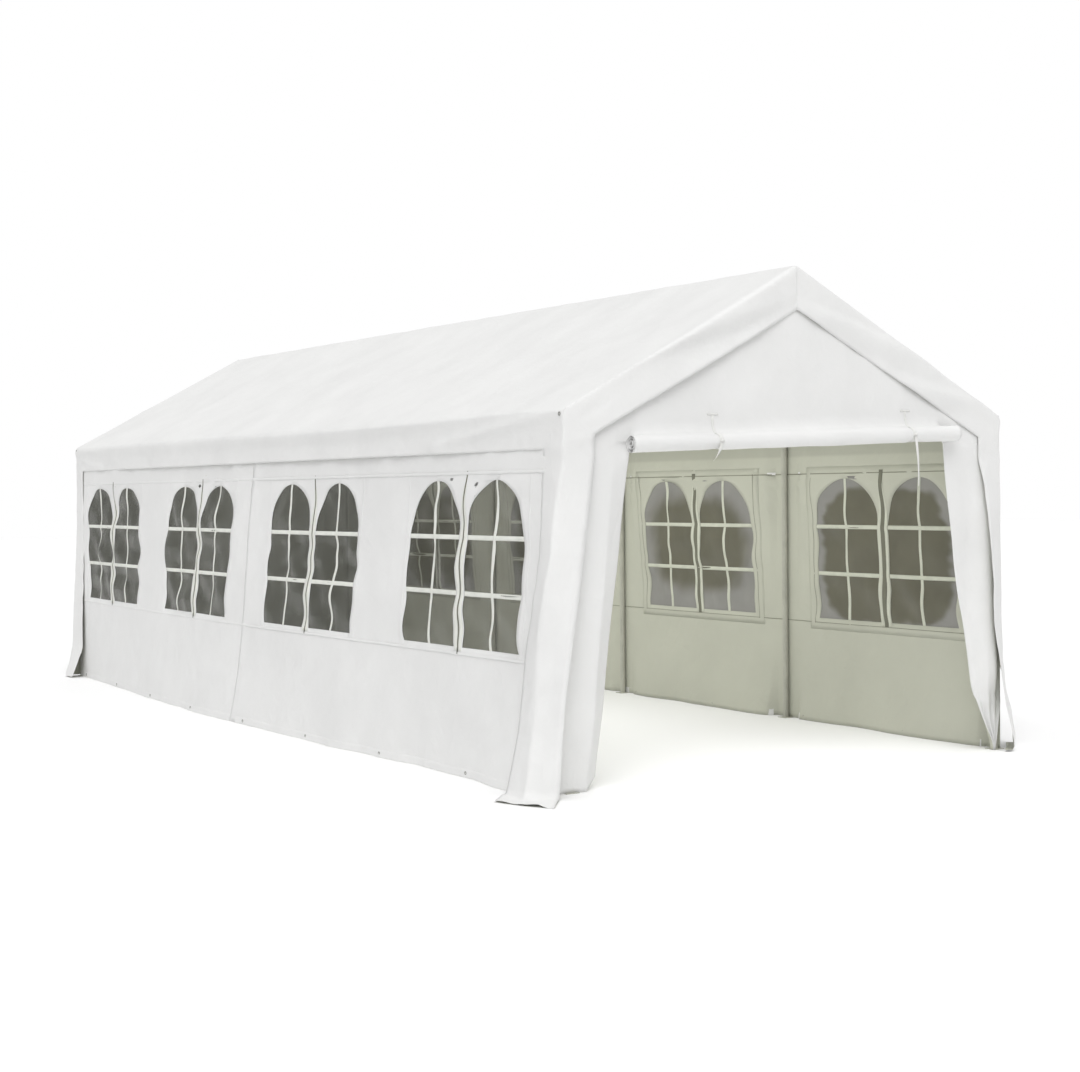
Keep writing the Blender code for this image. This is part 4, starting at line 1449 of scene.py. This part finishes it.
def roll_surface(x, turn, sizes):
    """Face of the rolled door: a spiral about the roll's middle line that ends on its top.

    radius = (1 - 0.84 * (1 - turn / all turns)^2) * local radius, with slow lumps along the roll.
    """
    places = np.stack([x, np.cos(turn) * 0.1, np.sin(turn) * 0.1], axis=-1)
    inner = 1 - turn / ROLL_TURNS
    lumps = 0.0018 * ripple(places, (0.35, 0.3, 0.3), 301) * smooth_share(inner, 0.0, 0.06)
    radius = (roll_radius(x) + lumps) * (1 - 0.84 * inner**2)
    angle = math.pi / 2 + ROLL_TURNS - turn
    y = roll_middle_y() + radius * np.cos(angle)
    z = roll_height(x) + radius * np.sin(angle)
    return np.stack([x, y, z], axis=-1)


def add_rolled_door(sizes, colours):
    """The front door rolled up under the gable cloth."""
    x = spaced(*ROLL_ENDS_X, 0.016)[None, :]
    turn = np.linspace(0.0, ROLL_TURNS, 120)[:, None]
    x, turn = np.broadcast_arrays(x, turn)
    points = roll_surface(x, turn, sizes)
    middle = roll_middle_y()

    def away(centres):
        """From the roll's middle line outwards."""
        out = np.stack([centres[:, 0] * 0, centres[:, 1] - middle, centres[:, 2]], axis=-1)
        out[:, 2] -= roll_height(centres[:, 0])
        return out

    uv = np.stack([x, turn * ROLL_RADIUS / 2], axis=-1)
    door = add_piece(
        "rolled_front_door",
        [patch(points, uv, away)],
        [sheet_materials(colours)[0]],
        ["rolled_door"],
        sizes.cloth,
    )


def add_ties(sizes, colours):
    """A tape round the rolled door at each tie, sewn to the gable cloth, with a knot and a tail."""
    tape = finish(ribbed_tape, "cotton_tape_white", linear_colour("E2E2DF"), 0.003)
    middle = roll_middle_y()
    ends = {"door_tie_left": (0.105, 0.011, -0.062, 1.1), "door_tie_right": (0.290, 0.010, 0.018, 0.5)}
    for node, place in TIE_NODES.items():
        z0 = float(roll_height(place))
        angle = np.linspace(0, 2 * math.pi, 33)[:-1][None, :]
        x = place + TIE_WIDTH * np.linspace(-0.5, 0.5, 7)[:, None]
        radius = roll_radius(x) + 0.0030
        y = middle + radius * np.cos(angle)
        z = z0 + radius * np.sin(angle)
        points = np.stack(np.broadcast_arrays(x, y, z), axis=-1)
        centre = np.array([place, middle, z0])

        def away(centres, centre=centre):
            return (centres - centre) * (0, 1, 1)

        uv = np.stack(np.broadcast_arrays(x, angle * ROLL_RADIUS), axis=-1)
        grids = [patch(points, uv, away, closed=True)]
        # Sewn end: from the top of the roll up to the seam of the gable cloth
        level = np.linspace(0.12, 1.0 + 0.06, 14)[:, None]
        across = place + 0.016 * np.linspace(-0.5, 0.5, 5)[None, :]
        points = front_surface(*np.broadcast_arrays(across, level), sizes, 0.0022)
        grids.append(patch(points, points[..., [0, 2]], (0, -1, 0)))
        top = float(points[-1, 0, 2])
        z = np.linspace(top - 0.005, top + 0.005, 3)[:, None]
        x = place + np.linspace(-0.035, 0.035, 9)[None, :]
        out = -END_Y - end_relief(*np.broadcast_arrays(x, z), -1, sizes) - 0.0028
        points = np.stack(np.broadcast_arrays(x, out, z), axis=-1)
        grids.append(patch(points, points[..., [0, 2]], (0, -1, 0)))
        front = middle - float(roll_radius(np.array(place)))
        length, half, drift, turns = ends[node]
        grids.append(tail((place + 0.004, front - 0.004, z0), length, half, drift, turns))
        grids.append(knot((place + 0.002, front - 0.008, z0 + 0.004)))
        add_piece(f"{node}_tape", grids, [tape], [node], 0.0009, False)


def tail(start, length, half, drift, turns):
    """A hanging tape end: it swings aside, narrows and turns about its middle line as it falls."""
    t = np.linspace(0, 1, 24)[:, None]
    across = np.linspace(-1, 1, 5)[None, :] * half * (1 - 0.45 * t * (length > 0.2))
    turn = turns * t**1.5
    points = np.stack(
        np.broadcast_arrays(
            start[0] + drift * t**1.2 + across * np.cos(turn),
            start[1] - 0.010 * np.sin(3.0 * t) + across * np.sin(turn),
            start[2] - length * t + 0.0 * across,
        ),
        axis=-1,
    )
    uv = np.stack(np.broadcast_arrays(across, length * t), axis=-1)
    return patch(points, uv, (0, -1, 0))


def knot(centre):
    """A small flat knot: a ring of tape wound about a slanting middle line."""
    a = np.linspace(0, 2 * math.pi, 25)[:-1][None, :]
    w = np.linspace(-0.009, 0.009, 7)[:, None]
    swell = 0.008 * np.sqrt(np.clip(1 - (w / 0.0105) ** 2, 0, 1))
    x = centre[0] + 1.3 * swell * np.cos(a) + 0.5 * w
    y = centre[1] + swell * np.sin(a)
    z = centre[2] + w
    points = np.stack(np.broadcast_arrays(x, y, z), axis=-1)
    middle = np.array(centre)

    def away(centres):
        return (centres - middle) * (1, 1, 0)

    uv = np.stack(np.broadcast_arrays(a * 0.008, w), axis=-1)
    return patch(points, uv, away, closed=True)


def add_back(sizes, colours):
    """Back cloth and the closed door in it, with a zip along each side of the door."""
    step = sizes.grid_step
    strip = spaced(DOOR_HALF, WALL_X, step)
    door = spaced(0.0, DOOR_HALF, step)
    door = np.concatenate([-door[:0:-1], door])
    columns = np.concatenate([-strip[:0:-1], door, strip[1:]])
    top = gable_grid(1, columns, lambda x: np.full_like(x, DOOR_TOP_Z), sizes)
    z = spaced(FOOT_Z, DOOR_TOP_Z, step)[:, None]
    grids = [top]
    for sign in (-1, 1):
        points = end_surface(1, sign * strip[None, :], z, sizes)
        grids.append(patch(points, points[..., [0, 2]], (0, 1, 0)))
    wall = add_piece(
        "back_wall_cloth",
        grids,
        sheet_materials(colours),
        ["back_wall"],
        sizes.cloth,
    )
    points = end_surface(1, door[None, :] * 0.999, z, sizes)
    panel = add_piece(
        "back_door_cloth",
        [patch(points, points[..., [0, 2]], (0, 1, 0))],
        sheet_materials(colours),
        ["back_door"],
        sizes.cloth,
    )
    tape = finish(ribbed_tape, "nylon_zip_grey", colours.zip, 0.003)
    strips = []
    for sign in (-1, 1):
        for half, lift in ((0.012, 0.0012), (0.003, 0.0030)):
            x = sign * DOOR_HALF + np.linspace(-half, half, 4)[None, :]
            points = end_surface(1, x, z, sizes, lift)
            strips.append(patch(points, points[..., [0, 2]], (0, 1, 0)))
    add_piece("back_door_zips", strips, [tape], (), 0.0008, False)


def ring(centre, axis, outer, thickness):
    """An eyelet: a torus round its axis, grid of 20 by 8."""
    axis = np.asarray(axis, float)
    axis /= np.linalg.norm(axis)
    helper = np.array([0.0, 0.0, 1.0]) if abs(axis[2]) < 0.9 else np.array([1.0, 0.0, 0.0])
    u = np.cross(axis, helper)
    u /= np.linalg.norm(u)
    v = np.cross(axis, u)
    a = np.linspace(0, 2 * math.pi, 21)[:, None, None]
    b = np.linspace(0, 2 * math.pi, 9)[:-1][None, :, None]
    spoke = np.cos(a) * u + np.sin(a) * v
    centre = np.asarray(centre, float)
    points = centre + spoke * (outer - thickness + thickness * np.cos(b)) + axis * (
        thickness * 0.6 * np.sin(b)
    )
    uv = np.stack(np.broadcast_arrays(a[..., 0], b[..., 0]), axis=-1)

    def away(centres):
        flat = centres - centre
        along = (flat @ axis)[:, None] * axis
        radial = flat - along
        length = np.linalg.norm(radial, axis=-1, keepdims=True)
        return flat - radial / length * (outer - thickness)

    return patch(points, uv, away, closed=True)


def add_eyelets(sizes, colours):
    """Eyelets along the walls' hems, and one at each corner of the cover."""
    metal = finish(plated_metal, "plated_metal")
    grids = []
    for sign in (-1, 1):
        for y in np.arange(-3.2, 3.9, 1.0):
            point = wall_surface(sign, y, 0.024, sizes, -0.0012)
            grids.append(ring(point, (sign, 0, 0), 0.011, 0.003))
    for sign in (-1, 1):
        for end in (-1, 1):
            sharp = np.array([sign * HALF_WIDTH, end * (HALF_LENGTH - 0.033), EAVE_Z - 0.023])
            point, normal = cover_surface(sharp[None, :], sizes)
            grids.append(ring(point[0] + 0.0006 * normal[0], normal[0], 0.011, 0.003))
    add_piece("eyelets", grids, [metal])


def finish_frame(colours):
    """Give the steel nodes their paint."""
    paint = finish(painted_steel, "powder_coated_steel", colours.steel)
    for name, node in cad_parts.items():
        if name.startswith(("post_", "rafter_", "eave_line", "ridge_line")):
            node.data.materials.clear()
            node.data.materials.append(paint)


def add_camera():
    """Camera at the photograph's viewing angle, turned by yaw, pitch and roll."""
    yaw, pitch = CAMERA_YAW, CAMERA_PITCH
    forward = Vector(
        (
            math.sin(yaw) * math.cos(pitch),
            math.cos(yaw) * math.cos(pitch),
            math.sin(pitch),
        )
    )
    level = Vector((math.cos(yaw), -math.sin(yaw), 0.0))
    upright = level.cross(forward)
    c, s = math.cos(CAMERA_ROLL), math.sin(CAMERA_ROLL)
    right = c * level + s * upright
    up = c * upright - s * level
    lens = bpy.data.cameras.new("camera")
    lens.sensor_width = SENSOR_WIDTH
    lens.lens = FOCAL_PIXELS * SENSOR_WIDTH / PHOTO_WIDTH
    lens.clip_end = 200.0
    camera = bpy.data.objects.new("camera", lens)
    bpy.context.scene.collection.objects.link(camera)
    turned = Matrix((right, up, -forward)).transposed().to_4x4()
    camera.matrix_world = Matrix.Translation(CAMERA_PLACE) @ turned
    bpy.context.scene.camera = camera


def add_sun(name, direction, strength, angle):
    """A soft light from far away, shining along a direction."""
    light = bpy.data.lights.new(name, "SUN")
    light.energy = strength
    light.angle = math.radians(angle)
    lamp = bpy.data.objects.new(name, light)
    lamp.rotation_mode = "QUATERNION"
    lamp.rotation_quaternion = Vector(direction).to_track_quat("-Z", "Y")
    bpy.context.scene.collection.objects.link(lamp)


def add_stage(colours):
    """Pale floor, white surroundings and soft lights."""
    scene = bpy.context.scene
    mesh = bpy.data.meshes.new("floor")
    bm = bmesh.new()
    bmesh.ops.create_grid(bm, x_segments=1, y_segments=1, size=60.0)
    bm.to_mesh(mesh)
    bm.free()
    mesh.materials.append(studio_floor("studio_floor", colours.floor))
    floor = bpy.data.objects.new("floor", mesh)
    scene.collection.objects.link(floor)
    world = bpy.data.worlds.new("studio")
    world.use_nodes = True
    tree = world.node_tree
    seen = add_node(tree, "ShaderNodeLightPath").outputs["Is Camera Ray"]
    shine = tree.nodes["Background"]
    shine.inputs["Color"].default_value = (1.0, 1.0, 1.0, 1.0)
    shine.inputs["Strength"].default_value = 0.58
    white = add_node(tree, "ShaderNodeBackground", inputs={"Strength": 1.0})
    white.inputs["Color"].default_value = (1.0, 1.0, 1.0, 1.0)
    mixed = add_node(
        tree,
        "ShaderNodeMixShader",
        inputs={0: seen, 1: shine.outputs["Background"], 2: white.outputs["Background"]},
    )
    tree.links.new(mixed.outputs["Shader"], tree.nodes["World Output"].inputs["Surface"])
    scene.world = world
    add_sun("key_light", (0.304, 0.503, -0.809), 0.398 * math.pi, 35)
    add_sun("top_light", (0.0, 0.1, -1.0), 0.25 * math.pi, 80)
    fill = bpy.data.lights.new("inside_fill", "AREA")
    fill.shape = "RECTANGLE"
    fill.size, fill.size_y = 1.2, 7.2
    fill.energy = 95.0
    lamp = bpy.data.objects.new("inside_fill", fill)
    lamp.location = (0.0, 0.0, 2.35)
    lamp.visible_camera = False
    lamp.visible_glossy = False
    scene.collection.objects.link(lamp)
    scene.view_settings.view_transform = "Standard"
    scene.view_settings.look = "None"


class TentOperator:
    """Shared parts of the operators: where they stand and how they find the settings."""

    bl_options = {"REGISTER", "UNDO"}

    def execute(self, context):
        settings = context.scene.tent
        self.build(settings.sizes, settings.colours)
        return {"FINISHED"}


class TENT_OT_camera(TentOperator, bpy.types.Operator):
    """Put the camera at the viewing angle"""

    bl_idname = "tent.camera"
    bl_label = "Camera"

    def build(self, sizes, colours):
        add_camera()


class TENT_OT_cover(TentOperator, bpy.types.Operator):
    """Lay the cover over the roof"""

    bl_idname = "tent.cover"
    bl_label = "Roof cover"

    def build(self, sizes, colours):
        add_cover(sizes, colours)


class TENT_OT_side_walls(TentOperator, bpy.types.Operator):
    """Hang the side walls and their seams"""

    bl_idname = "tent.side_walls"
    bl_label = "Side walls"

    def build(self, sizes, colours):
        add_side_walls(sizes, colours)
        add_seams(sizes, colours)


class TENT_OT_windows(TentOperator, bpy.types.Operator):
    """Fit the window films, their bars and the zips"""

    bl_idname = "tent.windows"
    bl_label = "Windows"

    def build(self, sizes, colours):
        add_windows(sizes, colours)
        add_zips(sizes, colours)


class TENT_OT_front(TentOperator, bpy.types.Operator):
    """Hang the front gable cloth, its strips and the rolled door"""

    bl_idname = "tent.front"
    bl_label = "Front"

    def build(self, sizes, colours):
        add_front(sizes, colours)
        add_rolled_door(sizes, colours)
        add_ties(sizes, colours)


class TENT_OT_back(TentOperator, bpy.types.Operator):
    """Hang the back wall and its closed door"""

    bl_idname = "tent.back"
    bl_label = "Back"

    def build(self, sizes, colours):
        add_back(sizes, colours)


class TENT_OT_fittings(TentOperator, bpy.types.Operator):
    """Paint the steel frame and set the eyelets"""

    bl_idname = "tent.fittings"
    bl_label = "Fittings"

    def build(self, sizes, colours):
        finish_frame(colours)
        add_eyelets(sizes, colours)


class TENT_OT_stage(TentOperator, bpy.types.Operator):
    """Add the floor, the surroundings and the lights"""

    bl_idname = "tent.stage"
    bl_label = "Stage"

    def build(self, sizes, colours):
        add_stage(colours)


class TentSettings(bpy.types.PropertyGroup):
    """Everything that can be set on the tent"""

    sizes: PointerProperty(type=TentSizes)
    colours: PointerProperty(type=TentColours)


OPERATORS = (
    TENT_OT_camera,
    TENT_OT_cover,
    TENT_OT_side_walls,
    TENT_OT_windows,
    TENT_OT_front,
    TENT_OT_back,
    TENT_OT_fittings,
    TENT_OT_stage,
)


class TENT_PT_panel(bpy.types.Panel):
    """Sizes, colours and steps of the tent"""

    bl_label = "Marquee tent"
    bl_idname = "TENT_PT_panel"
    bl_space_type = "VIEW_3D"
    bl_region_type = "UI"
    bl_category = "Tent"

    def draw(self, context):
        for group in (context.scene.tent.sizes, context.scene.tent.colours):
            column = self.layout.column()
            for name in group.bl_rna.properties.keys():
                if name not in ("rna_type", "name"):
                    column.prop(group, name)
        for operator in OPERATORS:
            self.layout.operator(operator.bl_idname)


CLASSES = (TentSizes, TentColours, TentSettings) + OPERATORS + (TENT_PT_panel,)


def register():
    for item in CLASSES:
        bpy.utils.register_class(item)
    bpy.types.Scene.tent = PointerProperty(type=TentSettings)


def unregister():
    del bpy.types.Scene.tent
    for item in reversed(CLASSES):
        bpy.utils.unregister_class(item)


def main():
    """Build every piece."""
    register()
    bpy.ops.tent.camera()
    bpy.ops.tent.cover()
    bpy.ops.tent.side_walls()
    bpy.ops.tent.windows()
    bpy.ops.tent.front()
    bpy.ops.tent.back()
    bpy.ops.tent.fittings()
    bpy.ops.tent.stage()


if __name__ == "__main__":
    main()
